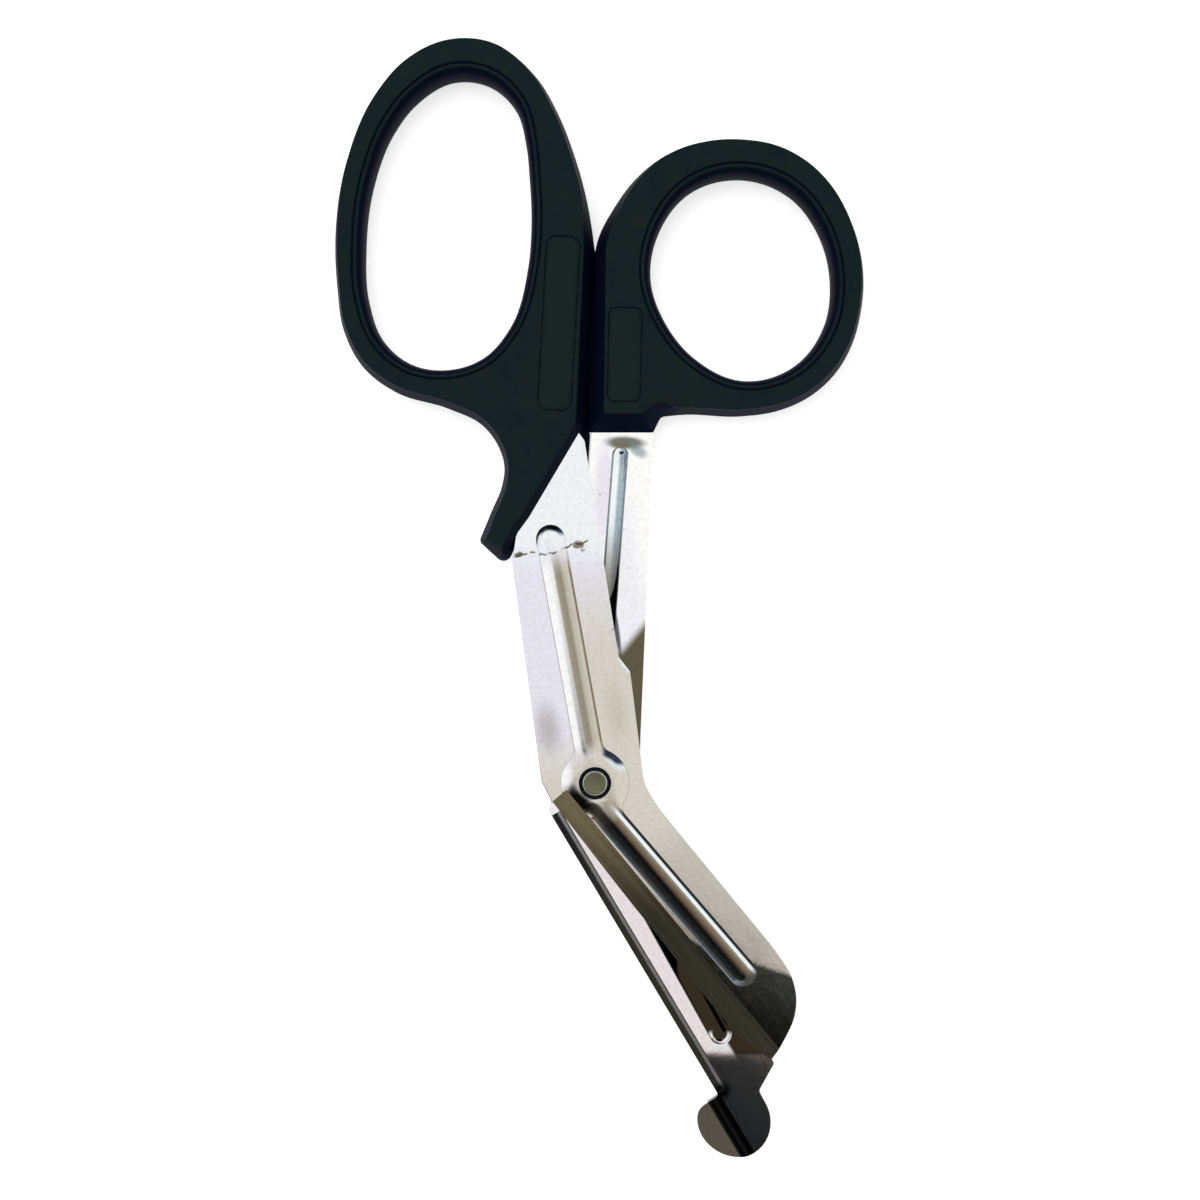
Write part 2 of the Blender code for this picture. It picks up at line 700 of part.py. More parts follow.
def loop_cutter(name, path, home):
    """The finger hole: a step and groove round each face, a ridge, then a rounded bead inside."""
    half = HANDLE_THICKNESS / 2
    ridge = STEP_WIDTH - GROOVE_WIDTH
    inner = ridge - RIDGE_WIDTH
    rim = [
        (STEP_WIDTH, half + THROUGH),
        (STEP_WIDTH, half - GROOVE_DEPTH),
        (ridge, half - GROOVE_DEPTH),
        (ridge - 0.05 * MM, half - RIDGE_DROP),
        (inner, half - RIDGE_DROP),
        (inner - 0.1 * MM, half - BEAD_DROP),
    ]
    bead = inner - 0.1 * MM
    for degrees in (25, 45, 65, 90):
        turn = math.radians(degrees)
        rim.append((bead * (1 - math.sin(turn)), (half - BEAD_DROP) * math.cos(turn) * 0.9 + 0.02 * MM))
    levels = [(even(-outset), MID_PLANE + height) for outset, height in rim]
    levels += [(even(-outset), MID_PLANE - height) for outset, height in reversed(rim)]
    return stacked(name, flattened(path), levels, home)


def tang_cutter(name, side, path, home):
    """The slot that the blade's tang sits in, wider than the tang all round."""
    levels = [(even(-TANG_GAP), side.at(-TANG_GAP)), (even(-TANG_GAP), side.at(SHEET + TANG_GAP))]
    return stacked(name, flattened(path), levels, home)


def closing_stop(home):
    """The web under the front blade that the rear shank closes against."""
    top = contact_at(LARGE_FOOT, -1)
    low = top.y - STOP_LENGTH
    corners = [
        (top, 0.0),
        (Vector((top.x - STOP_LENGTH * GUARD_SLOPE - STOP_ROOT, low)), 0.0),
        (Vector((REAR_LEFT - STOP_GAP, low)), 0.8 * MM),
        (Vector((top.x, top.y - STOP_ROOT)), 0.0),
    ]
    ceiling = MID_PLANE - TANG_GAP
    floor = ceiling - STOP_DEPTH
    levels = [(even(FACE_ROUND), floor), (even(0), floor + FACE_ROUND), (even(0), ceiling)]
    return stacked("closing_stop", flattened(corners), levels, home)


def make_large_handle(home, helpers, material):
    handle = handle_body("large_handle", large_outline(), large_bevel, home, material)
    boolean(handle, closing_stop(helpers), "UNION")
    hole = scaled(large_centre(), LARGE_HOLE_WIDTH / 2, LARGE_HOLE_LENGTH / 2, LARGE_HOLE)
    boolean(handle, loop_cutter("large_hole", hole, helpers), "DIFFERENCE")
    slot = tang_cutter("front_tang_slot", Side("front_blade", 1), front_outline(), helpers)
    boolean(handle, slot, "DIFFERENCE")
    shade(handle)
    return handle


def make_small_handle(home, helpers, material):
    handle = handle_body("small_handle", small_outline(), small_bevel, home, material)
    hole = scaled(small_centre(), SMALL_HOLE_WIDTH / 2, SMALL_HOLE_LENGTH / 2, SMALL_HOLE)
    boolean(handle, loop_cutter("small_hole", hole, helpers), "DIFFERENCE")
    slot = tang_cutter("rear_tang_slot", Side("rear_blade", -1), rear_outline(), helpers)
    boolean(handle, slot, "DIFFERENCE")
    shade(handle)
    return handle


def main():
    clear_scene()
    home = collection("bandage_scissors")
    helpers = collection("cutters")
    satin = steel("satin_steel", (0.62, 0.61, 0.60), 0.28)
    bright = steel("rivet_steel", (0.56, 0.55, 0.53), 0.22)
    black = plastic("black_plastic", (0.012, 0.018, 0.019), 0.42)
    half_pivot = bpy.data.objects.new("front_half", None)
    home.objects.link(half_pivot)
    for moving in (
        make_front_blade(home, helpers, satin),
        make_large_handle(home, helpers, black),
    ):
        moving.parent = half_pivot
    make_rear_blade(home, helpers, satin)
    make_small_handle(home, helpers, black)
    make_rivet(home, bright)


main()
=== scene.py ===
"""Bandage scissors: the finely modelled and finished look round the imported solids."""

import logging
import math
from collections.abc import Callable
from dataclasses import dataclass, field
from enum import Enum
from typing import Any

import bmesh
import bpy
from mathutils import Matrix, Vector

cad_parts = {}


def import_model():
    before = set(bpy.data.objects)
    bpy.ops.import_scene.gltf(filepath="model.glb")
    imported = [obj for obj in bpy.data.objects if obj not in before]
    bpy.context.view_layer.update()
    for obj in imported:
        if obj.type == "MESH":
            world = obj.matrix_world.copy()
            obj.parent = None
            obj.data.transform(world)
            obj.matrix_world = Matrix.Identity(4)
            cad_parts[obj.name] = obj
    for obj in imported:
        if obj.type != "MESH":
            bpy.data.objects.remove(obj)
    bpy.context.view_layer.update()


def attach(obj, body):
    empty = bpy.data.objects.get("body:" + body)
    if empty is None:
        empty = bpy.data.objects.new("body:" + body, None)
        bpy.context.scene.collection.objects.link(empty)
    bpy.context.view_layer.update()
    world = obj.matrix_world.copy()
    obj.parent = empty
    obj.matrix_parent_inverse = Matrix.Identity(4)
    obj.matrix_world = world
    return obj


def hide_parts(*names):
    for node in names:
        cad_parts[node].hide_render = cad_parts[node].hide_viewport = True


LOG = logging.getLogger("bandage_scissors")
MM = 0.001
TOUCHING = 1e-7
WHITE = (1.0, 1.0, 1.0, 1.0)
Depth = Callable[[Vector], float]
Level = tuple[Depth, float]
Span = tuple[float, float]
Triple = tuple[float, float, float]
Colour = Triple
Stop = tuple[float, Colour]


class Join(Enum):
    """How a helper solid acts on a piece."""

    ADD = "UNION"
    CUT = "DIFFERENCE"


class Half(Enum):
    """The two halves of the scissors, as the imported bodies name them."""

    FRONT = "front_half"
    REAR = "rear_half"


def even(depth: float) -> Depth:
    """A depth that is the same all round an outline."""
    return lambda point: depth


def eased(low: float, high: float, share: float) -> float:
    """The value part of the way from low to high, along a smooth step."""
    share = min(max(share, 0.0), 1.0)
    return low + (high - low) * share * share * (3 - 2 * share)


def heading(degrees: float) -> tuple[Vector, Vector]:
    """Unit vectors along and across a line at an angle from +X.

    Args:
        degrees: the line's angle.

    Returns:
        The direction along the line and the one to its left.
    """
    turn = math.radians(degrees)
    along = Vector((math.cos(turn), math.sin(turn)))
    return along, Vector((-along.y, along.x))


@dataclass(frozen=True)
class Knot:
    """A point of an outline: on a smooth curve, or a corner with its own radius."""

    at: Vector
    corner: float | None = None


def knots(*rows: tuple[float, ...]) -> list[Knot]:
    """Knots from rows of x, y and, for a corner, its radius."""
    return [Knot(Vector(row[:2]), row[2] if len(row) == 3 else None) for row in rows]


def placed(origin: Vector, degrees: float, local: list[Knot]) -> list[Knot]:
    """Knots that are given along and across a slanted line, in the shared frame.

    Args:
        origin: where the line starts.
        degrees: the line's angle from +X.
        local: knots along and across that line.

    Returns:
        The same knots in the shared frame.
    """
    along, across = heading(degrees)
    return [Knot(origin + along * knot.at.x + across * knot.at.y, knot.corner) for knot in local]


def fitted(centre: Vector, half_width: float, half_length: float, shape: list[Span]) -> list[Knot]:
    """Smooth knots of a loop that is drawn in units of its half sizes."""
    return [Knot(Vector((centre.x + x * half_width, centre.y + y * half_length))) for x, y in shape]


@dataclass
class Outline:
    """A closed counter-clockwise outline through knots, in millimetres."""

    knots: list[Knot]
    step: float = 0.8
    fewest_steps: int = 3
    handle: float = 0.34
    arc_steps: int = 8
    least_radius: float = 0.05

    def direction(self, index: int) -> Vector:
        """Unit direction of the curve at a smooth knot, as on the circle through its neighbours."""
        before = self.knots[index].at - self.knots[index - 1].at
        after = self.knots[(index + 1) % len(self.knots)].at - self.knots[index].at
        return (before.normalized() * after.length + after.normalized() * before.length).normalized()

    def traced(self) -> list[Knot]:
        """The outline as short straight runs, its corners still marked."""
        made: list[Knot] = []
        for index, knot in enumerate(self.knots):
            following = self.knots[(index + 1) % len(self.knots)]
            run = following.at - knot.at
            made.append(knot)
            if knot.corner is not None and following.corner is not None:
                continue
            leave = run.normalized() if knot.corner is not None else self.direction(index)
            arrive = run.normalized()
            if following.corner is None:
                arrive = self.direction((index + 1) % len(self.knots))
            first = knot.at + leave * run.length * self.handle
            second = following.at - arrive * run.length * self.handle
            steps = max(self.fewest_steps, round(run.length / self.step))
            for step in range(1, steps):
                t = step / steps
                s = 1 - t
                place = knot.at * s**3 + first * 3 * s * s * t + second * 3 * s * t * t + following.at * t**3
                made.append(Knot(place))
        return made

    def ring(self, depth: Depth) -> list[Vector]:
        """The outline moved inwards, its marked corners rounded.

        Args:
            depth: how far each point moves inwards; outwards where negative.

        Returns:
            The points, always the same number for one outline.
        """
        line = self.traced()
        count = len(line)
        moved: list[Vector] = []
        for index, knot in enumerate(line):
            before = (knot.at - line[index - 1].at).normalized()
            after = (line[(index + 1) % count].at - knot.at).normalized()
            inward = Vector((-before.y - after.y, before.x + after.x)) / (1 + before.dot(after))
            moved.append(knot.at + inward * depth(knot.at))
        made: list[Vector] = []
        for index, knot in enumerate(line):
            if not knot.corner:
                made.append(moved[index])
                continue
            before = (moved[index] - moved[index - 1]).normalized()
            after = (moved[(index + 1) % count] - moved[index]).normalized()
            side = math.copysign(1, before.cross(after))
            radius = max(knot.corner - side * depth(knot.at), self.least_radius)
            made.extend(self.arc(moved[index], before, after, radius))
        return made

    def arc(self, corner: Vector, before: Vector, after: Vector, radius: float) -> list[Vector]:
        """Points of the arc that rounds a corner between two directions."""
        half = before.angle(after) / 2
        side = math.copysign(1, before.cross(after))
        centre = corner - before * radius * math.tan(half) + Vector((-before.y, before.x)) * side * radius
        first = math.atan2(before.y, before.x) - side * math.pi / 2
        turns = [first + side * 2 * half * step / self.arc_steps for step in range(self.arc_steps + 1)]
        return [centre + Vector((math.cos(turn), math.sin(turn))) * radius for turn in turns]


def circle(radius: float, steps: int = 96) -> Outline:
    """A round outline about the pivot."""
    turns = [2 * math.pi * step / steps for step in range(steps)]
    return Straight([Knot(Vector((math.cos(turn), math.sin(turn))) * radius) for turn in turns])


class Straight(Outline):
    """An outline whose knots are already close together and are joined by straight runs."""

    def traced(self) -> list[Knot]:
        """The knots as they are."""
        return self.knots


@dataclass(frozen=True)
class Rib:
    """A pressed rib: a point on its axis, the centre of its round end and its width."""

    start: Vector
    end: Vector
    width: float


@dataclass(frozen=True)
class Pressing:
    """The outline round a boss and the ribs that run out of it, with fillets between them."""

    boss: float
    fillet: float
    ribs: tuple[Rib, ...]
    cap_steps: int = 28
    fillet_steps: int = 10

    def swept(self, centre: Vector, start: Vector, end: Vector, side: int, steps: int) -> list[Vector]:
        """Points of an arc.

        Args:
            centre: the arc's centre.
            start: its first point.
            end: its last point.
            side: 1 for counter-clockwise, -1 for clockwise.
            steps: how many runs it has.

        Returns:
            The points, both ends included.
        """
        first = math.atan2(start.y - centre.y, start.x - centre.x)
        turn = math.atan2(end.y - centre.y, end.x - centre.x) - first
        turn = side * ((side * turn) % math.tau)
        reach = (start - centre).length
        angles = [first + turn * step / steps for step in range(steps + 1)]
        return [centre + Vector((math.cos(angle), math.sin(angle))) * reach for angle in angles]

    def run(self, rib: Rib) -> list[Vector]:
        """One rib from the boss, round its end and back to the boss."""
        along = (rib.end - rib.start).normalized()
        feet = []
        for side in (-1, 1):
            outward = Vector((-along.y, along.x)) * side
            aside = rib.end.dot(outward) + rib.width / 2 + self.fillet
            centre = outward * aside + along * math.sqrt((self.boss + self.fillet) ** 2 - aside**2)
            on_boss = centre * self.boss / (self.boss + self.fillet)
            on_rib = centre - outward * self.fillet
            pair = (on_boss, on_rib) if side < 0 else (on_rib, on_boss)
            feet.append(self.swept(centre, *pair, -1, self.fillet_steps))
        across = Vector((-along.y, along.x)) * rib.width / 2
        cap = self.swept(rib.end, rib.end - across, rib.end + across, 1, self.cap_steps)
        return feet[0] + cap + feet[1]

    def outline(self) -> Outline:
        """The whole outline."""
        runs = [self.run(rib) for rib in self.ribs]
        made: list[Vector] = []
        for index, run in enumerate(runs):
            after = runs[(index + 1) % len(runs)][0]
            made += run + self.swept(Vector((0, 0)), run[-1], after, 1, self.cap_steps)[1:-1]
        return Straight([Knot(point) for point in made])


class Bench:
    """Where pieces are built from rings, joined and cut."""

    def __init__(self) -> None:
        """Makes one collection for the pieces."""
        self.home = bpy.data.collections.new("scissors_looks")
        bpy.context.scene.collection.children.link(self.home)

    def tube(self, shell: bmesh.types.BMesh, rings: list[list[bmesh.types.BMVert]]) -> None:
        """Walls between rings of corners, and a cap at each end."""
        for lower, upper in zip(rings, rings[1:]):
            for index in range(len(lower)):
                after = (index + 1) % len(lower)
                shell.faces.new((lower[index], lower[after], upper[after], upper[index]))
        shell.faces.new(rings[0])
        shell.faces.new(rings[-1])

    def keep(self, name: str, shell: bmesh.types.BMesh) -> bpy.types.Object:
        """Turns a bmesh into an object, its faces turned outwards."""
        bmesh.ops.recalc_face_normals(shell, faces=shell.faces)
        data = bpy.data.meshes.new(name)
        shell.to_mesh(data)
        shell.free()
        obj = bpy.data.objects.new(name, data)
        self.home.objects.link(obj)
        return obj

    def loft(self, name: str, outline: Outline, levels: list[Level]) -> bpy.types.Object:
        """A closed solid through copies of one outline.

        Args:
            name: the object's name.
            outline: the outline that every level follows.
            levels: the inset and height of each copy, in millimetres.

        Returns:
            The solid.
        """
        shell = bmesh.new()
        rings = []
        for depth, height in levels:
            rings.append([shell.verts.new(Vector((*point, height)) * MM) for point in outline.ring(depth)])
        self.tube(shell, rings)
        return self.keep(name, shell)

    def prism(self, name: str, corners: list[Vector], run: Vector) -> bpy.types.Object:
        """A solid of constant section.

        Args:
            name: the object's name.
            corners: the section's corners, in millimetres.
            run: how far and which way the section is drawn out.

        Returns:
            The solid.
        """
        shell = bmesh.new()
        near = [shell.verts.new(corner * MM) for corner in corners]
        far = [shell.verts.new((corner + run) * MM) for corner in corners]
        self.tube(shell, [near, far])
        return self.keep(name, shell)

    def work(self, piece: bpy.types.Object, steps: list[tuple[Join, bpy.types.Object]]) -> None:
        """Joins and cuts a piece with helper solids, which are then thrown away."""
        for how, tool in steps:
            modifier = piece.modifiers.new(tool.name, "BOOLEAN")
            modifier.operation = how.value
            modifier.solver = "EXACT"
            modifier.object = tool
        self.settle(piece)
        for _, tool in steps:
            bpy.data.objects.remove(tool)

    def settle(self, piece: bpy.types.Object) -> None:
        """Applies a piece's modifiers to its mesh."""
        graph = bpy.context.evaluated_depsgraph_get()
        data = bpy.data.meshes.new_from_object(piece.evaluated_get(graph))
        piece.modifiers.clear()
        piece.data = data
        data.name = piece.name

    def polish(self, piece: bpy.types.Object, sharp: float, flats_first: int = 100) -> None:
        """Smooths the shading but for edges sharper than an angle, and keeps flats flat."""
        piece.data.shade_smooth()
        piece.data.set_sharp_from_angle(angle=math.radians(sharp))
        weighted = piece.modifiers.new("flat_faces", "WEIGHTED_NORMAL")
        weighted.keep_sharp = True
        weighted.weight = flats_first


# Shader maths


class Signal:
    """A shader socket that Python expressions can use; each operation adds a Math node."""

    def __init__(self, recipe: "Recipe", socket: bpy.types.NodeSocket) -> None:
        """Wraps an output socket of the recipe's node tree."""
        self.recipe = recipe
        self.socket = socket

    def math(self, operation: str, *others: "Signal | float") -> "Signal":
        """A Math node of this signal and others."""
        return self.recipe.math(operation, self, *others)

    def __add__(self, other: "Signal | float") -> "Signal":
        """This plus other."""
        return self.math("ADD", other)

    def __radd__(self, other: float) -> "Signal":
        """Other plus this."""
        return self.recipe.math("ADD", other, self)

    def __sub__(self, other: "Signal | float") -> "Signal":
        """This less other."""
        return self.math("SUBTRACT", other)

    def __rsub__(self, other: float) -> "Signal":
        """Other less this."""
        return self.recipe.math("SUBTRACT", other, self)

    def __mul__(self, other: "Signal | float") -> "Signal":
        """This times other."""
        return self.math("MULTIPLY", other)

    def __rmul__(self, other: float) -> "Signal":
        """Other times this."""
        return self.recipe.math("MULTIPLY", other, self)

    def __truediv__(self, other: "Signal | float") -> "Signal":
        """This over other."""
        return self.math("DIVIDE", other)

    def least(self, other: "Signal | float") -> "Signal":
        """The smaller of the two."""
        return self.math("MINIMUM", other)

    def most(self, other: "Signal | float") -> "Signal":
        """The larger of the two."""
        return self.math("MAXIMUM", other)

    def size(self) -> "Signal":
        """This without its sign."""
        return self.math("ABSOLUTE")

    def ramp(self, start: float, end: float) -> "Signal":
        """0 before start, 1 after end and a smooth step between, whichever of them is larger."""
        settings = {"interpolation_type": "SMOOTHSTEP", "clamp": True}
        if start < end:
            return self.recipe.node(
                "ShaderNodeMapRange", settings, {"Value": self, "From Min": start, "From Max": end}
            ).out("Result")
        return 1.0 - self.ramp(end, start)


class Made:
    """A node whose outputs can be asked for as signals."""

    def __init__(self, recipe: "Recipe", node: bpy.types.Node) -> None:
        """Wraps a node of the recipe's tree."""
        self.recipe = recipe
        self.node = node

    def out(self, key: str | int = 0) -> Signal:
        """One output, by name or number."""
        return Signal(self.recipe, self.node.outputs[key])


@dataclass(frozen=True)
class Place:
    """Where a shaded point lies on its piece at rest, in millimetres."""

    vector: Signal
    x: Signal
    y: Signal
    z: Signal

    def along(self, origin: Vector, degrees: float) -> Signal:
        """Distance along a slanted line from its start."""
        way, _ = heading(degrees)
        return (self.x - origin.x) * way.x + (self.y - origin.y) * way.y

    def across(self, origin: Vector, degrees: float) -> Signal:
        """Distance to the left of a slanted line."""
        _, way = heading(degrees)
        return (self.x - origin.x) * way.x + (self.y - origin.y) * way.y


class Recipe:
    """The node tree of one finish."""

    def __init__(self, tree: bpy.types.NodeTree) -> None:
        """Clears the tree."""
        self.tree = tree
        tree.nodes.clear()

    def node(
        self, kind: str, settings: dict[str, Any] | None = None, values: dict[Any, Any] | None = None,
    ) -> Made:
        """Adds any node.

        Args:
            kind: the node's type.
            settings: its own settings, which are set first.
            values: a number, colour or signal for each socket, by name or number.

        Returns:
            The node.
        """
        node = self.tree.nodes.new(kind)
        for name, value in (settings or {}).items():
            if name == "stops":
                self.set_stops(node.color_ramp, value)
            else:
                setattr(node, name, value)
        for key, value in (values or {}).items():
            if isinstance(value, Signal):
                self.tree.links.new(value.socket, node.inputs[key])
            else:
                node.inputs[key].default_value = value
        return Made(self, node)

    def set_stops(self, ramp: bpy.types.ColorRamp, stops: tuple[Stop, ...]) -> None:
        """Gives a colour ramp its stops."""
        while len(ramp.elements) < len(stops):
            ramp.elements.new(0.5)
        for element, (place, colour) in zip(ramp.elements, stops):
            element.position = place
            element.color = (*colour, 1.0)

    def math(self, operation: str, *values: "Signal | float") -> Signal:
        """A Math node."""
        return self.node("ShaderNodeMath", {"operation": operation}, dict(enumerate(values))).out()

    def place(self) -> Place:
        """The shaded point's place on its piece."""
        where = self.node("ShaderNodeTexCoord").out("Object")
        vector = self.node("ShaderNodeVectorMath", {"operation": "SCALE"}, {0: where, "Scale": 1 / MM}).out()
        parts = self.node("ShaderNodeSeparateXYZ", None, {0: vector})
        return Place(vector, parts.out(), parts.out(1), parts.out(2))

    def underside(self) -> Signal:
        """1 on what faces down and 0 on walls and what faces up."""
        normal = self.node("ShaderNodeTexCoord").out("Normal")
        return self.node("ShaderNodeSeparateXYZ", None, {0: normal}).out(2).ramp(-0.2, -0.6)

    def stretched(self, place: Place, degrees: float, sizes: Triple) -> Signal:
        """Noise coordinates turned to a line and shrunk by a grain's sizes in millimetres.

        Args:
            place: the shaded point.
            degrees: the angle that the first size runs along.
            sizes: the grain's length, breadth and depth.

        Returns:
            Coordinates for a texture.
        """
        turn = self.node(
            "ShaderNodeVectorRotate",
            {"rotation_type": "Z_AXIS"},
            {"Vector": place.vector, "Angle": math.radians(-degrees)},
        ).out()
        scale = tuple(1 / size for size in sizes)
        return self.node("ShaderNodeVectorMath", {"operation": "MULTIPLY"}, {0: turn, 1: scale}).out()

    def noise(self, vector: Signal, detail: float, rough: float, warp: float) -> Signal:
        """Noise from 0 to 1, one grain to a unit of its coordinates."""
        values = {"Vector": vector, "Scale": 1.0, "Detail": detail, "Roughness": rough, "Distortion": warp}
        return self.node("ShaderNodeTexNoise", None, values).out("Fac")

    def mixed(self, share: "Signal | float", first: Any, second: Any, how: str = "MIX") -> Signal:
        """A colour between two, by a share from 0 to 1, or the first one darkened by the second."""
        values = {
            "Factor": share,
            6: first if isinstance(first, Signal) else (*first, 1.0),
            7: second if isinstance(second, Signal) else (*second, 1.0),
        }
        return self.node("ShaderNodeMix", {"data_type": "RGBA", "blend_type": how}, values).out(2)

    def ramped(self, share: Signal, stops: tuple[Stop, ...]) -> Signal:
        """A colour looked up along a row of colours, by a share from 0 to 1."""
        return self.node("ShaderNodeValToRGB", {"stops": stops}, {"Fac": share}).out("Color")

    def bumped(self, height: Signal) -> Signal:
        """The normal of a surface raised by a height in millimetres."""
        values = {"Strength": 1.0, "Distance": MM, "Height": height}
        return self.node("ShaderNodeBump", None, values).out("Normal")

    def finish(self, values: dict[str, Any]) -> None:
        """Ends the tree in one Principled shader."""
        shader = self.node("ShaderNodeBsdfPrincipled", None, values).out()
        self.node("ShaderNodeOutputMaterial", None, {"Surface": shader})


def new_material(name: str) -> tuple[bpy.types.Material, Recipe]:
    """A material and the recipe for its nodes."""
    material = bpy.data.materials.new(name)
    material.use_nodes = True
    return material, Recipe(material.node_tree)


def distance(aside: Signal, ahead: Signal) -> Signal:
    """How far a point lies from where both signals are 0."""
    return (aside * aside + ahead * ahead).math("SQRT")


@dataclass(frozen=True)
class Fade:
    """A share that goes from 0 to its strength while a value goes from start to end."""

    start: float
    end: float
    strength: float = 1.0

    def of(self, value: Signal) -> Signal:
        """The share at a value."""
        share = value.ramp(self.start, self.end)
        return share if self.strength == 1.0 else share * self.strength


@dataclass(frozen=True)
class Grain:
    """A noise pattern: its grain's length, breadth and depth in millimetres, its fineness and its warp."""

    sizes: Triple
    detail: float = 2.0
    rough: float = 0.5
    warp: float = 0.0

    def at(self, recipe: Recipe, place: Place, turn: float = 0.0) -> Signal:
        """The pattern from 0 to 1 at a point, its length laid along an angle."""
        return recipe.noise(recipe.stretched(place, turn, self.sizes), self.detail, self.rough, self.warp)


@dataclass(frozen=True)
class Oval:
    """A leaning oval on a piece: its centre, half sizes and lean."""

    centre: Span
    half: Span
    lean: float = 0.0

    def reach(self, place: Place) -> Signal:
        """A point's distance from the centre, 1 on the oval's edge."""
        aside = place.along(Vector(self.centre), self.lean) / self.half[0]
        ahead = place.across(Vector(self.centre), self.lean) / self.half[1]
        return distance(aside, ahead)


@dataclass(frozen=True)
class Plate:
    """A bare label plate on a handle's face: its centre, half sizes, lean and corner radius."""

    centre: Span
    half: Span
    lean: float
    corner: float

    def outline(self) -> Outline:
        """The plate's rounded edge."""
        wide, long = self.half
        corners = knots(
            (-wide, -long, self.corner), (wide, -long, self.corner),
            (wide, long, self.corner), (-wide, long, self.corner),
        )
        return Outline(placed(Vector(self.centre), self.lean, corners))

    def beyond(self, place: Place) -> Signal:
        """How far a point lies outside the plate's edge; negative within a corner's reach of it."""
        wide, long = self.half
        aside = place.along(Vector(self.centre), self.lean).size() - (wide - self.corner)
        ahead = place.across(Vector(self.centre), self.lean).size() - (long - self.corner)
        return distance(aside.most(0.0), ahead.most(0.0)) - self.corner


@dataclass(frozen=True)
class HandlePlastic:
    """Blue-black moulded plastic with a fine spark texture on its faces; its walls carry painted shade."""

    name: str
    base: Colour = (0.0080, 0.0172, 0.0182)
    line: Colour = (0.0015, 0.0045, 0.0070)
    # painted shade: the sloping walls get a darker copy of the face colour
    wall: Colour = (0.0015, 0.0042, 0.0150)
    plate: Colour = (0.0098, 0.0200, 0.0195)
    lit_spark: Colour = (0.0199, 0.0270, 0.02575)
    green: Colour = (0.0150, 0.0210, 0.0150)
    mid_plane: float = 4.5
    face: Fade = Fade(4.1, 4.4)
    on_plate: Fade = Fade(0.05, -0.1)
    line_outside: Fade = Fade(0.34, 0.2, 0.9)
    line_inside: Fade = Fade(-0.08, 0.04)
    spark: Grain = Grain((0.32, 0.32, 0.32), 2.0, 0.6)
    cloud: Grain = Grain((6.0, 9.0, 6.0), 4.0, 0.6)
    tinge: Grain = Grain((2.2, 3.0, 3.0), 3.0, 0.6)
    cloud_turn: float = 20.0
    tinge_turn: float = 70.0
    spark_least: float = 0.55
    spark_lift: float = 0.9
    clouded: Fade = Fade(0.4, 0.75, 0.2)
    tinged: Fade = Fade(0.45, 0.7, 0.4)
    spark_height: float = 0.028
    cloud_height: float = 0.05
    wall_relief: float = 0.3
    rough: float = 0.44
    spark_rough: float = 0.16
    sheen: float = 0.02

    def material(self, plates: tuple[Plate, ...]) -> bpy.types.Material:
        """Makes the material, a little lighter on the label plates, with painted shade on the walls."""
        material, recipe = new_material(self.name)
        place = recipe.place()
        face = self.face.of((place.z - self.mid_plane).size())
        spark = self.spark.at(recipe, place)
        cloud = self.cloud.at(recipe, place, self.cloud_turn)
        tinge = self.tinge.at(recipe, place, self.tinge_turn)
        # painted shade on the walls, the face colour on the faces
        colour = recipe.mixed(face, self.wall, self.base)
        for plate in plates:
            beyond = plate.beyond(place)
            line = self.line_outside.of(beyond) * self.line_inside.of(beyond)
            colour = recipe.mixed(self.on_plate.of(beyond) * face, colour, self.plate)
            colour = recipe.mixed(line * face, colour, self.line)
        colour = recipe.mixed((spark - self.spark_least).most(0.0) * self.spark_lift, colour, self.lit_spark)
        colour = recipe.mixed(self.clouded.of(cloud), colour, self.wall)
        colour = recipe.mixed(self.tinged.of(tinge) * face, colour, self.green)
        height = spark * self.spark_height + cloud * self.cloud_height
        recipe.finish({
            "Base Color": colour,
            "Roughness": spark * self.spark_rough + self.rough,
            "Specular IOR Level": self.sheen,
            "Normal": recipe.bumped(height * (face * (1 - self.wall_relief) + self.wall_relief)),
        })
        return material


@dataclass(frozen=True)
class Bow:
    """A slight bow of a blade, as the steel mirrors it: its lean in degrees along a length below a height."""

    lean: float
    start: float = -2.0
    length: float = 44.0
    soft: float = 2.5

    def height(self, place: Place) -> Signal:
        """How far the surface is bent, in millimetres."""
        bent = (place.y - self.start).least(0.0).math("SMOOTH_MAX", -self.length, self.soft)
        return bent * math.tan(math.radians(self.lean))


@dataclass(frozen=True)
class Hairline:
    """A thin wandering mark across the steel between two points."""

    start: Span
    end: Span
    wander: float = 2.64
    edge: Fade = Fade(0.224, 0.07, 0.95)
    ends: Span = (-0.3, 0.3)
    sway: Grain = Grain((2.6, 60.0, 60.0), 4.0, 0.62)
    gaps: Grain = Grain((1.3, 9.0, 9.0))
    gap: Fade = Fade(0.36, 0.5)

    def amount(self, recipe: Recipe, place: Place) -> Signal:
        """How dark the mark is at a point."""
        start, run = Vector(self.start), Vector(self.end) - Vector(self.start)
        degrees = math.degrees(math.atan2(run.y, run.x))
        sway = (self.sway.at(recipe, place, degrees) - 0.5) * self.wander
        aside = (place.across(start, degrees) - sway).size()
        along = place.along(start, degrees)
        ends = along.ramp(*self.ends) * (run.length - along).ramp(*self.ends)
        return self.edge.of(aside) * ends * self.gap.of(self.gaps.at(recipe, place, degrees))


@dataclass(frozen=True)
class Stain(Oval):
    """A brownish blotch on the steel with a ragged edge."""

    strength: float = 0.6
    ragged: Grain = Grain((0.9, 0.9, 0.9), 4.0, 0.65)
    raggedness: float = 1.6
    edge: Fade = Fade(1.0, 0.55)

    def amount(self, recipe: Recipe, place: Place) -> Signal:
        """How dark the blotch is at a point."""
        torn = (self.ragged.at(recipe, place) - 0.5) * self.raggedness
        return self.edge.of(self.reach(place) + torn) * self.strength


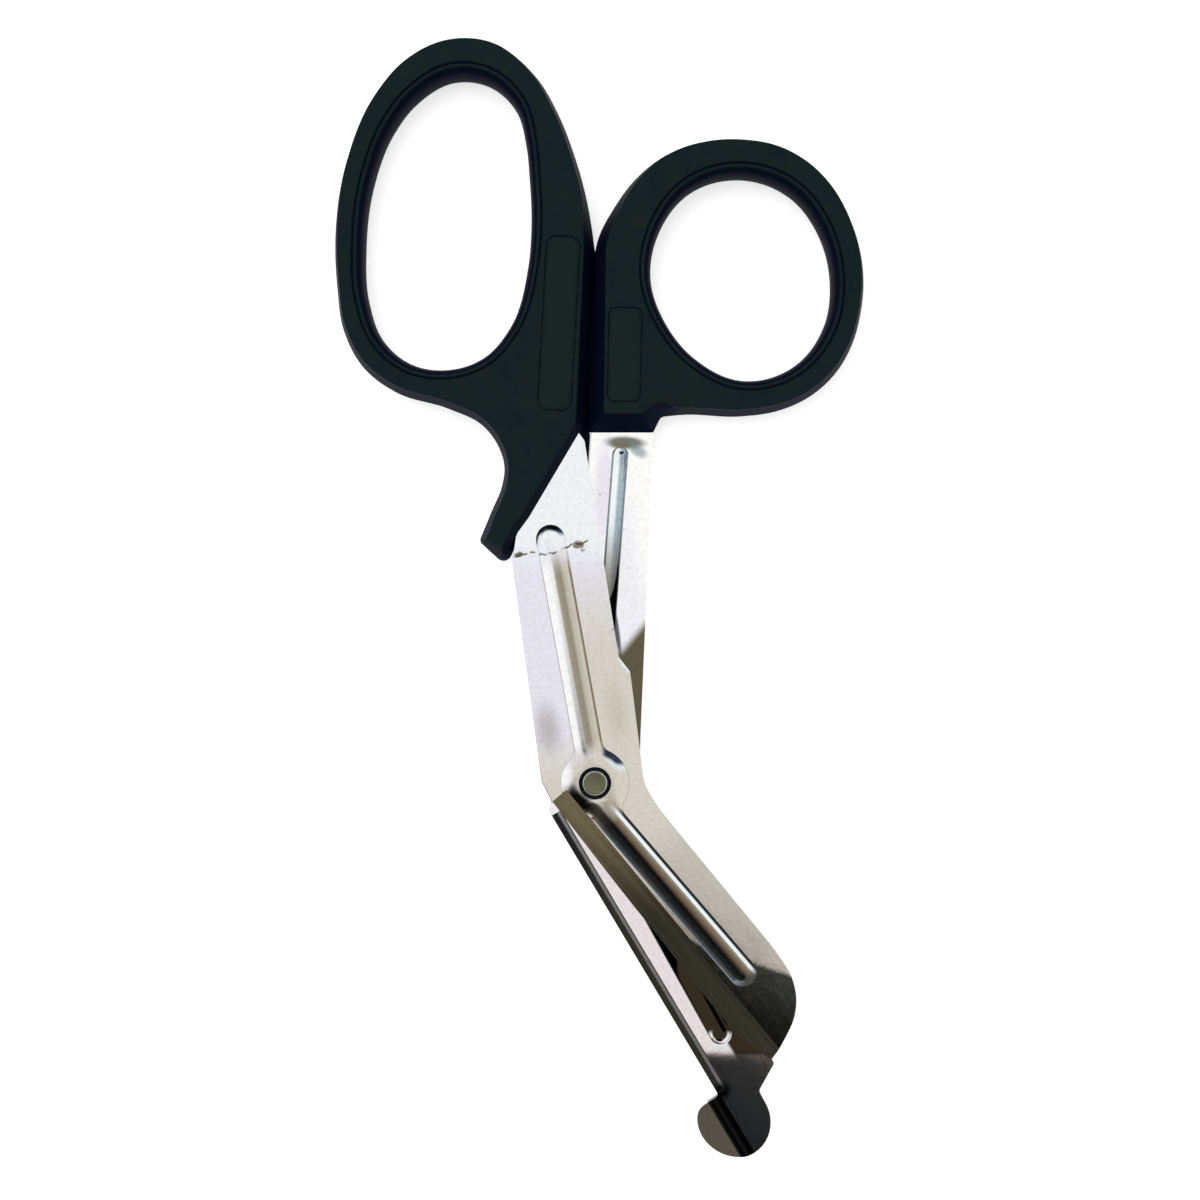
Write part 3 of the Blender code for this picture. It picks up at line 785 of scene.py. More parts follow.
@dataclass(frozen=True)
class Shade(Oval):
    """A soft oval of another colour: a painted reflection, highlight or shade."""

    colour: Colour = (0.0, 0.0, 0.0)
    strength: float = 1.0
    soft: float = 0.6

    def over(self, recipe: Recipe, place: Place, colour: Any, mask: "Signal | float" = 1.0) -> Signal:
        """The colour with this one laid over it.

        Args:
            recipe: the finish it belongs to.
            place: the shaded point.
            colour: what lies beneath.
            mask: where it shows, from 0 to 1.

        Returns:
            The new colour.
        """
        share = Fade(1.0 + self.soft / 2, 1.0 - self.soft, self.strength).of(self.reach(place))
        return recipe.mixed(share * mask, colour, self.colour)


@dataclass(frozen=True)
class Bands:
    """Painted reflections and highlights across a rib or groove, from its left foot to its right one.

    The axis runs upwards; the bands fade in and out at distances along it.
    """

    start: Span
    end: Span
    width: float
    fade_in: Fade
    fade_out: Fade
    colours: tuple[Stop, ...]
    left: Fade = Fade(-0.02, 0.01)
    right: Fade = Fade(1.02, 0.99)

    def over(self, recipe: Recipe, place: Place, colour: Any, mask: "Signal | float" = 1.0) -> Signal:
        """The colour with the bands laid over it.

        Args:
            recipe: the finish they belong to.
            place: the shaded point.
            colour: what lies beneath.
            mask: where they show, from 0 to 1.

        Returns:
            The new colour.
        """
        start, run = Vector(self.start), Vector(self.end) - Vector(self.start)
        degrees = math.degrees(math.atan2(run.y, run.x))
        share = 0.5 - place.across(start, degrees) / self.width
        along = place.along(start, degrees)
        inside = self.left.of(share) * self.right.of(share) * self.fade_in.of(along) * self.fade_out.of(along)
        return recipe.mixed(inside * mask, colour, recipe.ramped(share, self.colours))


@dataclass(frozen=True)
class Steel:
    """Stainless steel: the polish, brushing, mottling and marks that the blades and the rivet share."""

    name: str
    grain_turn: float
    base: Colour = (0.88, 0.88, 0.93)
    plain: Colour = (0.60, 0.59, 0.57)
    stain: Colour = (0.13, 0.095, 0.05)
    mottle: Colour = (0.60, 0.55, 0.46)
    # colour of the painted shade in recesses and creases
    painted_shade_colour: Colour = (0.006, 0.009, 0.016)
    brush: Grain = Grain((16.0, 0.24, 0.24))
    waves: Grain = Grain((40.0, 1.6, 1.4), 3.0, 0.55)
    dents: Grain = Grain((9.0, 9.0, 9.0), 4.0, 0.6, 0.5)
    mottling: Grain = Grain((0.75, 0.75, 0.75), 4.0, 0.7)
    specks: Grain = Grain((0.6, 0.6, 0.6))
    mottled: Fade = Fade(0.38, 0.72, 0.25)
    specked: Fade = Fade(0.72, 0.79, 0.4)
    brush_height: float = 0.0006
    wave_height: float = 0.0030
    dent_height: float = 0.016
    rough: float = 0.07
    brush_rough: float = 0.03
    dirt_rough: float = 0.3
    painted_shade_rough: float = 0.4
    painted_shade_cover: float = 0.9
    most_rough: float = 0.8
    gloss: float = 0.1
    bow: Bow | None = None
    stains: tuple[Stain, ...] = ()
    hairlines: tuple[Hairline, ...] = ()

    def tone(self, recipe: Recipe, place: Place) -> Signal:
        """The clean steel's colour."""
        raise NotImplementedError

    def painted_shade(self, place: Place) -> Signal | None:
        """How much painted shade lies at a point, where the piece has any."""
        return None

    def satin(self, place: Place) -> Signal | None:
        """How much rougher the steel is at a point, where that varies."""
        return None

    def material(self) -> bpy.types.Material:
        """Makes the material; whatever faces down is plain steel without marks."""
        material, recipe = new_material(self.name)
        place = recipe.place()
        under = recipe.underside()
        brush = self.brush.at(recipe, place, self.grain_turn)
        waves = self.waves.at(recipe, place, self.grain_turn)
        dents = self.dents.at(recipe, place)
        colour = recipe.mixed(under, self.tone(recipe, place), self.plain)
        mottled = self.mottled.of(self.mottling.at(recipe, place))
        colour = recipe.mixed(mottled, colour, self.mottle, "MULTIPLY")
        colour = recipe.mixed(self.specked.of(self.specks.at(recipe, place)), colour, self.stain)
        rough = brush * self.brush_rough + self.rough
        metallic: Signal | float = 1.0
        marks = [mark.amount(recipe, place) for mark in (*self.stains, *self.hairlines)]
        if marks:
            dirt = sum(marks).least(1.0) * (1.0 - under)
            colour = recipe.mixed(dirt, colour, self.stain)
            rough = rough + dirt * self.dirt_rough
        # painted shade: darker, rougher and less metallic steel where a piece paints it
        painted_shade = self.painted_shade(place)
        if painted_shade is not None:
            painted_shade = painted_shade.least(1.0) * (1.0 - under)
            colour = recipe.mixed(painted_shade, colour, self.painted_shade_colour)
            rough = rough + painted_shade * self.painted_shade_rough
            metallic = 1.0 - painted_shade * self.painted_shade_cover
        satin = self.satin(place)
        if satin is not None:
            rough = rough + satin
        height = brush * self.brush_height + waves * self.wave_height + dents * self.dent_height
        if self.bow is not None:
            height = height + self.bow.height(place)
        recipe.finish({
            "Base Color": colour,
            "Metallic": metallic,
            "Roughness": rough.least(self.most_rough),
            "Specular IOR Level": self.gloss,
            "Normal": recipe.bumped(height),
        })
        return material


@dataclass(frozen=True)
class FrontSteel(Steel):
    """The front blade's steel in painted reflections: pinkish and cool above, warm below, satin on the ground
    edge.
    """

    wing: float = 6.05
    heel: Span = (-7.31, -3.23)
    turn: float = -50.55
    shank_turn: float = 100.3
    # painted reflection tones of the flats: cool, pinkish and warm
    cool: Colour = (0.88, 0.91, 0.94)
    pink: Colour = (0.80, 0.79, 0.88)
    warm: Colour = (0.68, 0.645, 0.575)
    pink_below: Fade = Fade(42.0, 34.0)
    warm_below: Fade = Fade(42.0, 20.0)
    warm_right: Fade = Fade(1.2, -1.6)
    warm_low: Fade = Fade(12.0, -2.0)
    # painted dark reflection at the nose, streaked
    nose: Fade = Fade(-21.1, -22.2, 0.97)
    nose_lean: float = 0.35
    nose_ragged: float = 1.2
    nose_turn: float = 62.0
    nose_streaks: Grain = Grain((14.0, 0.5, 0.5))
    nose_streaked: Fade = Fade(0.35, 0.7)
    nose_dark: Colour = (0.036, 0.045, 0.044)
    nose_light: Colour = (0.062, 0.066, 0.057)
    pressed: Fade = Fade(0.01, 0.05)
    steep_from: Fade = Fade(0.02, 0.06, 0.97)
    steep_to: Fade = Fade(0.62, 0.40)
    rib_top: Fade = Fade(41.5, 42.6)
    boss_right: Fade = Fade(0.9, 1.8)
    boss_from: Fade = Fade(2.6, 3.6)
    boss_to: Fade = Fade(9.0, 6.5)
    # painted reflection: a dark blue crescent on the steep sides at the upper rib's top and by the boss
    crescent: Colour = (0.008, 0.020, 0.048)
    facet: Fade = Fade(3.42, 3.18)
    facet_skin: float = 0.05
    facet_lines: Grain = Grain((30.0, 0.5, 0.5))
    facet_lined: Fade = Fade(0.4, 0.65, 0.5)
    facet_line: Colour = (0.5, 0.5, 0.48)
    facet_low: Fade = Fade(-5.0, -25.0)
    # painted reflection on the ground edge: light by the heel, darker towards the nose
    ground: Colour = (0.82, 0.68, 0.41)
    ground_low: Colour = (0.20, 0.185, 0.135)
    # painted shade in the rivet's sunk seat and in the crease at the pressing's foot
    seat_wall: Fade = Fade(2.79, 2.72)
    seat_depth: Fade = Fade(6.9, 6.6)
    foot_line_from: Fade = Fade(0.01, 0.03, 0.3)
    foot_line_to: Fade = Fade(0.12, 0.06)
    facet_satin: float = 0.22
    pressed_satin: Fade = Fade(0.02, 0.3, 0.10)
    # painted reflections and highlights across the upper and lower ribs
    upper: Bands = Bands((0.0, 0.0), (-7.5, 41.2), 5.0, Fade(4.2, 7.5), Fade(41.0, 35.5), (
        (0.0, (0.30, 0.30, 0.31)), (0.025, (0.62, 0.61, 0.62)), (0.05, (1.0, 1.0, 1.0)),
        (0.37, (0.98, 0.99, 1.0)), (0.45, (0.37, 0.34, 0.27)), (0.63, (0.30, 0.27, 0.20)),
        (0.71, (0.50, 0.47, 0.38)), (0.90, (0.62, 0.60, 0.52)), (0.935, (0.22, 0.18, 0.12)),
        (1.0, (0.30, 0.25, 0.17)),
    ))
    lower: Bands = Bands((24.98, -32.09), (0.92, -4.10), 4.85, Fade(-2.0, 0.2), Fade(36.5, 33.0), (
        (0.0, (0.42, 0.41, 0.30)), (0.05, (0.26, 0.30, 0.38)), (0.28, (0.28, 0.31, 0.38)),
        (0.40, (0.07, 0.07, 0.08)), (0.50, (0.10, 0.075, 0.055)), (0.66, (0.20, 0.15, 0.10)),
        (0.755, (0.34, 0.28, 0.21)), (0.785, (0.85, 0.95, 1.0)), (0.875, (0.80, 0.90, 0.95)),
        (0.905, (0.02, 0.02, 0.025)), (1.0, (0.03, 0.03, 0.03)),
    ))
    # soft patches of painted reflection tone, and a painted highlight on the edge at the step
    painted_reflections: tuple[Shade, ...] = (
        Shade((-8.0, 9.2), (2.3, 4.6), 8.0, (0.36, 0.35, 0.33), 0.65, 0.9),
        Shade((3.6, 12.0), (2.0, 6.0), 8.0, (0.48, 0.44, 0.37), 0.4, 0.9),
        Shade((22.0, -20.0), (16.0, 15.0), 0.0, (0.55, 0.53, 0.475), 0.95, 0.5),
        Shade((4.95, 19.85), (0.3, 1.8), 38.0, (0.75, 0.92, 1.0), 0.9, 0.5),
    )
    # painted reflections and highlights round the boss, and a dark painted reflection below it
    shades: tuple[Shade, ...] = (
        Shade((0.0, 0.0), (4.6, 4.6), 0.0, (0.66, 0.62, 0.54), 0.9),
        Shade((-5.0, 0.9), (1.3, 3.2), 0.0, (0.98, 0.99, 1.0), 0.9, 0.8),
        Shade((-2.6, -2.9), (3.1, 1.5), -38.0, (0.02, 0.02, 0.02), 0.95),
        Shade((2.3, -4.4), (1.5, 2.6), -20.0, (0.30, 0.25, 0.18), 0.6),
        Shade((3.6, 3.9), (2.4, 1.3), -42.0, (0.80, 0.93, 1.0), 0.9),
        Shade((0.4, -3.0), (1.9, 0.28), 8.0, (0.85, 0.85, 0.80), 0.9),
    )

    def facet_share(self, place: Place) -> Signal:
        """1 on the ground edge and 0 elsewhere."""
        across = place.across(Vector(self.heel), self.turn)
        return self.facet.of(across) * place.z.ramp(self.wing, self.wing - self.facet_skin)

    def flats(self, recipe: Recipe, place: Place) -> Signal:
        """Painted reflection tones: cool by the handle, pinkish left of the shank's rib, warm elsewhere and
        dark at the nose.
        """
        right = self.warm_right.of(place.across(Vector((0.0, 0.0)), self.shank_turn))
        colour = recipe.mixed(self.pink_below.of(place.y), self.cool, self.pink)
        warm = right.most(self.warm_low.of(place.y)) * self.warm_below.of(place.y)
        colour = recipe.mixed(warm, colour, self.warm)
        for reflection in self.painted_reflections:
            colour = reflection.over(recipe, place, colour)
        streak = self.nose_streaks.at(recipe, place, self.nose_turn)
        nose = self.nose.of(place.y + place.x * self.nose_lean - streak * self.nose_ragged)
        dark = recipe.mixed(self.nose_streaked.of(streak), self.nose_dark, self.nose_light)
        return recipe.mixed(nose, colour, dark)

    def tone(self, recipe: Recipe, place: Place) -> Signal:
        """The flats' colour, then what the boss, the ribs and the ground edge add: painted reflections and
        highlights, with grinding lines on the ground edge.
        """
        colour = self.flats(recipe, place)
        rise = place.z - self.wing
        pressed = self.pressed.of(rise)
        for band in (*self.shades, self.lower, self.upper):
            colour = band.over(recipe, place, colour, pressed)
        boss = self.boss_right.of(place.x) * self.boss_from.of(place.y) * self.boss_to.of(place.y)
        steep = self.steep_from.of(rise) * self.steep_to.of(rise)
        colour = recipe.mixed(steep * self.rib_top.of(place.y).most(boss), colour, self.crescent)
        lines = self.facet_lined.of(self.facet_lines.at(recipe, place, self.turn))
        ground = recipe.mixed(self.facet_low.of(place.y), self.ground, self.ground_low)
        ground = recipe.mixed(lines, ground, self.facet_line, "MULTIPLY")
        return recipe.mixed(self.facet_share(place), colour, ground)

    def painted_shade(self, place: Place) -> Signal:
        """Painted shade in the rivet's sunk seat, and a thin line of it in the crease at the pressing's foot.
        """
        rise = place.z - self.wing
        seat = self.seat_wall.of(distance(place.x, place.y)) * self.seat_depth.of(place.z)
        return seat + self.foot_line_from.of(rise) * self.foot_line_to.of(rise)

    def satin(self, place: Place) -> Signal:
        """The ground edge is satin and the pressing a little duller than the flats."""
        return self.facet_share(place) * self.facet_satin + self.pressed_satin.of(place.z - self.wing)


@dataclass(frozen=True)
class RearSteel(Steel):
    """The rear blade's steel in painted reflections: white by the handle, its grooves in bands of painted
    reflection, painted shade brown lower down.
    """

    inner: float = 4.45
    heel: Span = (-7.92, -4.9)
    turn: float = -59.15
    length: float = 56.5
    # painted reflection tones: white top, pinkish strip, olive; brown is painted shade, lip a painted
    # highlight, toe a painted dark reflection at the bend
    top: Colour = (1.0, 1.0, 1.0)
    strip: Colour = (0.80, 0.75, 0.77)
    brown: Colour = (0.036, 0.027, 0.016)
    olive: Colour = (0.115, 0.10, 0.062)
    groove_olive: Colour = (0.16, 0.155, 0.105)
    lip: Colour = (0.95, 0.93, 0.93)
    toe: Colour = (0.01, 0.012, 0.02)
    top_to: Fade = Fade(56.0, 36.0)
    strip_from: Fade = Fade(0.0, -12.0)
    sunk: Fade = Fade(0.04, 0.16)
    speckle: Grain = Grain((0.35, 0.35, 0.35), 2.0, 0.6)
    speckle_least: float = 0.55
    speckle_more: float = 0.6
    groove_olive_below: Fade = Fade(47.0, 32.0, 0.9)
    groove_olive_above: Fade = Fade(-4.0, 0.0)
    olive_lean: float = 1.2
    olive_below: Fade = Fade(18.2, 15.4)
    olive_above: Fade = Fade(-4.0, 2.0)
    brown_beyond: Fade = Fade(5.6, 6.2)
    brown_inside: Fade = Fade(1.9, 2.2)
    brown_below: Fade = Fade(-2.0, -6.0)
    brown_above: Fade = Fade(-48.0, -46.0)
    groove_end: Span = (21.25, -42.81)
    lip_inside: Fade = Fade(1.15, 1.4, 0.9)
    lip_outside: Fade = Fade(2.05, 1.9)
    lip_below: Fade = Fade(0.6, -0.4)
    toe_from: Span = (-2.0, -1.0)
    bend_top: Fade = Fade(0.45, 0.2, 0.97)
    bend_foot: Fade = Fade(-2.4, -2.0)
    # painted shade: a thin dark line along the grooves' edges
    edge_line_from: Fade = Fade(0.03, 0.08, 0.3)
    edge_line_to: Fade = Fade(0.24, 0.16)
    # painted reflections and highlights across the shank's groove
    groove: Bands = Bands((0.0, 0.0), (4.3, 55.6), 3.3, Fade(2.0, 6.0), Fade(57.6, 56.4), (
        (0.0, (0.22, 0.19, 0.12)), (0.10, (0.45, 0.43, 0.34)), (0.18, (0.92, 0.96, 1.0)),
        (0.42, (0.90, 0.96, 1.0)), (0.55, (0.30, 0.41, 0.46)), (0.95, (0.28, 0.39, 0.44)),
        (1.0, (0.75, 0.78, 0.80)),
    ))
    # painted reflections and highlights, and a painted shadow of the front blade's edge along the shank
    shades: tuple[Shade, ...] = (
        Shade((9.6, 44.0), (3.6, 15.0), 0.0, (1.0, 1.0, 1.0), 0.95),
        Shade((1.6, 50.0), (1.9, 9.0), -2.0, (0.80, 0.77, 0.85), 0.8),
        Shade((5.2, 57.7), (3.6, 1.15), -3.0, (0.15, 0.16, 0.13), 0.95, 0.45),
        Shade((7.3, 56.3), (1.9, 1.0), -30.0, (0.22, 0.32, 0.34), 0.75),
        Shade((4.4, 57.3), (1.8, 0.7), 0.0, (0.19, 0.165, 0.11), 0.85),
        Shade((4.4, 55.2), (1.0, 1.6), 0.0, (0.30, 0.29, 0.24), 0.7),
        Shade((21.7, -52.5), (1.5, 1.5), 0.0, (0.03, 0.03, 0.03), 0.95),
        Shade((3.45, 27.0), (0.55, 7.0), 9.0, (0.03, 0.035, 0.05), 0.9, 0.5),
        Shade((5.3, 20.2), (0.5, 2.2), 38.0, (0.03, 0.035, 0.05), 0.9, 0.5),
    )

    def shank(self, recipe: Recipe, place: Place, sunk: Signal) -> Signal:
        """The colour before the cutting end's own bands.

        Args:
            recipe: the finish it belongs to.
            place: the shaded point.
            sunk: 1 in the grooves and 0 on the flat.

        Returns:
            Painted reflection: white by the handle, tinted in the shank's groove and olive near the boss.
        """
        colour = recipe.mixed(self.top_to.of(place.y), self.top, self.base)
        colour = recipe.mixed(self.strip_from.of(place.y), colour, self.strip)
        for shade in self.shades:
            colour = shade.over(recipe, place, colour)
        tinted = self.speckle.at(recipe, place) * self.speckle_more + self.speckle_least
        colour = self.groove.over(recipe, place, colour, sunk * tinted.least(1.0))
        low_groove = sunk * self.groove_olive_below.of(place.y) * self.groove_olive_above.of(place.y)
        colour = recipe.mixed(low_groove, colour, self.groove_olive)
        slanted = self.olive_below.of(place.y - place.x * self.olive_lean)
        return recipe.mixed(slanted * self.olive_above.of(place.y), colour, self.olive)

    def tone(self, recipe: Recipe, place: Place) -> Signal:
        """The shank's colour, painted shade brown in and beyond the lower groove, its bright lip a painted
        highlight, and a painted dark reflection at the foot's bend.
        """
        sunk = self.sunk.of(self.inner - place.z)
        colour = self.shank(recipe, place, sunk)
        across = place.across(Vector(self.heel), self.turn)
        brown = self.brown_beyond.of(across).most(sunk) * self.brown_inside.of(across)
        brown = brown * self.brown_below.of(place.y) * self.brown_above.of(place.y)
        colour = recipe.mixed(brown, colour, self.brown)
        ahead = place.y - self.groove_end[1]
        reach = distance(place.x - self.groove_end[0], ahead)
        lip = self.lip_inside.of(reach) * self.lip_outside.of(reach) * self.lip_below.of(ahead)
        colour = recipe.mixed(lip, colour, self.lip)
        toe = (place.along(Vector(self.heel), self.turn) - self.length).ramp(*self.toe_from)
        return recipe.mixed(self.bend_top.of(across) * self.bend_foot.of(across) * toe, colour, self.toe)

    def painted_shade(self, place: Place) -> Signal:
        """A thin line of painted shade along the grooves' edges."""
        drop = self.inner - place.z
        return self.edge_line_from.of(drop) * self.edge_line_to.of(drop)


@dataclass(frozen=True)
class RivetSteel(Steel):
    """The rivet's steel: dull, with a bright rim round its formed end, a painted highlight on its chamfer."""

    # painted highlight on the chamfer of the formed end
    rim: Colour = (0.75, 0.76, 0.74)
    rim_from: Fade = Fade(1.88, 1.96, 0.8)
    rim_to: Fade = Fade(2.3, 2.2)

    def tone(self, recipe: Recipe, place: Place) -> Signal:
        """Olive grey inside a bright rim, a painted highlight."""
        reach = distance(place.x, place.y)
        return recipe.mixed(self.rim_from.of(reach) * self.rim_to.of(reach), self.base, self.rim)


# Blades


@dataclass
class Blade:
    """A stamped blade with pressed ribs, a boss round the pivot and a ground edge."""

    name: str = "blade"
    half: Half = Half.FRONT
    up: int = 1
    mid_plane: float = 4.5
    play: float = 0.1
    thick: float = 1.5
    edge_break: float = 0.15
    rib_height: float = 0.8
    rib_wall: float = 1.0
    boss_radius: float = 5.9
    boss_slope: float = 2.9
    boss_fillet: float = 2.0
    rib_slope: float = 2.25
    groove_taper: float = 0.9
    hole_radius: float = 1.7
    grind_width: float = 3.3
    grind_land: float = 0.35
    overrun: float = 1.0
    bulge_steps: int = 14
    sharp_angle: float = 12.5
    heel: Vector = field(default_factory=lambda: Vector((0, 0)))
    turn: float = 0.0

    def at(self, height: float) -> float:
        """Height in the shared frame of a height over the blade's inner face."""
        return self.mid_plane + self.up * (self.play / 2 + height)

    def local(self, along: float, across: float) -> Vector:
        """A point given along and across the cutting end."""
        way, side = heading(self.turn)
        return self.heel + way * along + side * across

    def outline(self) -> Outline:
        """The blank's outline."""
        raise NotImplementedError

    def ribs(self) -> tuple[Rib, ...]:
        """The rib up the shank and the one down the blade."""
        raise NotImplementedError

    def blank(self, bench: Bench) -> bpy.types.Object:
        """The flat blank with softly broken edges."""
        soft = self.edge_break
        levels: list[Level] = []
        for share in (1.0, 0.6, 0.3, 0.0):
            inset = soft * (1 - math.sqrt(1 - share * share))
            levels.append((even(inset), self.at(soft * (1 - math.sqrt(1 - (1 - share) ** 2)))))
        levels += [(depth, 2 * self.at(self.thick / 2) - height) for depth, height in reversed(levels)]
        return bench.loft(self.name, self.outline(), levels)

    def side_width(self, point: Vector) -> float:
        """How wide the pressing's side is: wider round the boss than along a rib."""
        share = (point.length - self.boss_radius) / (self.boss_fillet / 2)
        return eased(self.boss_slope, self.rib_slope, share)

    def side(self, start: float, taper: float, share: float) -> Depth:
        """How far inside its outline the pressing lies, part of the way up its side."""
        return lambda point: start + (self.side_width(point) - taper) * share

    def bulge(self, bench: Bench, name: str, start: float, base: float) -> bpy.types.Object:
        """A pressed form that rises steeply from its foot and rounds over to the crest.

        Args:
            bench: where it is built.
            name: the helper's name.
            start: how far inside the pressing's outline its foot lies.
            base: the height of its foot over the inner face.

        Returns:
            The helper solid.
        """
        inner = base == 0
        taper = self.groove_taper if inner else 0.0
        levels: list[Level] = [(even(start), self.at(base - (self.overrun if inner else self.thick / 2)))]
        for step in range(self.bulge_steps + 1):
            share = step / self.bulge_steps
            rise = self.rib_height * (1 - (1 - share) ** 2)
            levels.append((self.side(start, taper, share), self.at(base + rise)))
        outline = Pressing(self.boss_radius, self.boss_fillet, self.ribs()).outline()
        return bench.loft(f"{self.name}_{name}", outline, levels)

    def drum(self, bench: Bench, name: str, radius: float, low: float, high: float) -> bpy.types.Object:
        """A round cutter on the pivot axis."""
        levels = [(even(0), self.at(low)), (even(0), self.at(high))]
        return bench.loft(f"{self.name}_{name}", circle(radius), levels)

    def facet(self, bench: Bench, name: str, span: Span, section: list[Span]) -> bpy.types.Object:
        """A straight grinding cutter along the cutting end.

        Args:
            bench: where it is built.
            name: the helper's name.
            span: where along the blade it starts and stops.
            section: its section, across the blade and over the inner face.

        Returns:
            The helper solid.
        """
        way, _ = heading(self.turn)
        corners = [Vector((*self.local(span[0], across), self.at(height))) for across, height in section]
        return bench.prism(f"{self.name}_{name}", corners, Vector((*(way * (span[1] - span[0])), 0)))

    def ground(self, edge: float, inward: int, width: float, low: float, high: float) -> list[Span]:
        """The section of a facet that rises inwards from an edge, with the waste above it."""
        outside = 2 * self.overrun
        fall = (high - low) / width
        return [
            (edge - inward * outside, low - outside * fall), (edge + inward * width, high),
            (edge + inward * width, high + self.overrun), (edge - inward * outside, high + self.overrun),
        ]

    def pressings(self, bench: Bench) -> list[tuple[Join, bpy.types.Object]]:
        """Boss and ribs on the outside, their hollow on the inside, and the rivet's hole."""
        crest = self.thick + self.rib_height
        return [
            (Join.ADD, self.bulge(bench, "ribs", 0.0, self.thick)),
            (Join.CUT, self.bulge(bench, "hollow", self.rib_wall, 0.0)),
            (Join.CUT, self.drum(bench, "hole", self.hole_radius, -self.overrun, crest + self.overrun)),
        ]

    def grinding(self, bench: Bench) -> list[tuple[Join, bpy.types.Object]]:
        """What is ground or sunk after pressing."""
        raise NotImplementedError

    def shape(self, bench: Bench, piece: bpy.types.Object) -> None:
        """Any bending of the blank before it is pressed."""

    def build(self, bench: Bench, steel: bpy.types.Material) -> bpy.types.Object:
        """Makes the finished blade in place of its plain solid.

        Args:
            bench: where it is built.
            steel: its finish.

        Returns:
            The blade, riding on its half.
        """
        piece = self.blank(bench)
        self.shape(bench, piece)
        bench.work(piece, self.pressings(bench) + self.grinding(bench))
        bench.polish(piece, self.sharp_angle)
        piece.data.materials.clear()
        piece.data.materials.append(steel)
        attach(piece, self.half.value)
        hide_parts(self.name)
        return piece


@dataclass
class FrontBlade(Blade):
    """The upper blade, with a round nose and a sunk rivet seat."""

    name: str = "front_blade"
    length: float = 57.5
    width: float = 13.3
    belly: float = 0.65
    heel: Vector = field(default_factory=lambda: Vector((-7.31, -3.23)))
    turn: float = -50.55
    rib_to_tip: float = 14.7
    rib_to_spine: float = 6.7
    rib_slant: float = 0.8
    sink_radius: float = 2.74
    sink_depth: float = 0.7

    def outline(self) -> Outline:
        """Heel, cutting edge, nose, spine, shank and tang."""
        long, wide = self.length, self.width
        cutting_end = knots(
            (0.0, 0.0, 0.0), (long / 2, -self.belly), (long - 3.0, 0.0), (long, 0.9, 0.4),
            (long - 0.55, 2.6), (long - 1.6, wide - 8.0), (long - 3.1, wide - 5.0),
            (long - 5.2, wide - 2.7), (long - 9.0, wide - 0.7), (long - 14.2, wide, 0.0), (16.5, wide, 0.0),
        )
        upper = knots(
            (10.0, -2.95), (8.55, -0.3), (7.8, 4.0, 0.0), (5.95, 18.8, 1.2), (4.0, 21.3, 1.2),
            (-1.75, 57.9, 0.4), (-3.7, 60.6, 0.8), (-3.1, 88.0, 2.0), (-8.0, 88.0, 2.0), (-9.0, 58.5, 6.0),
            (-13.4, 41.6, 2.0), (-14.06, 37.23, 0.5), (-9.06, 0.2, 1.5),
        )
        return Outline(placed(self.heel, self.turn, cutting_end) + upper)

    def ribs(self) -> tuple[Rib, ...]:
        """The rib up the shank and the one down the blade."""
        across = self.width - self.rib_to_spine
        start = self.local(self.boss_radius, across - self.rib_slant)
        end = self.local(self.length - self.rib_to_tip, across)
        return (Rib(Vector((0, 0)), Vector((-7.5, 41.2)), 5.0), Rib(start, end, 4.85))

    def grinding(self, bench: Bench) -> list[tuple[Join, bpy.types.Object]]:
        """The rivet's seat and the ground cutting edge."""
        crest = self.thick + self.rib_height
        section = self.ground(0, 1, self.grind_width, self.grind_land, self.thick)
        seat = self.drum(bench, "seat", self.sink_radius, crest - self.sink_depth, crest + self.overrun)
        return [
            (Join.CUT, seat),
            (Join.CUT, self.facet(bench, "edge", (0, self.length + 2 * self.overrun), section)),
        ]


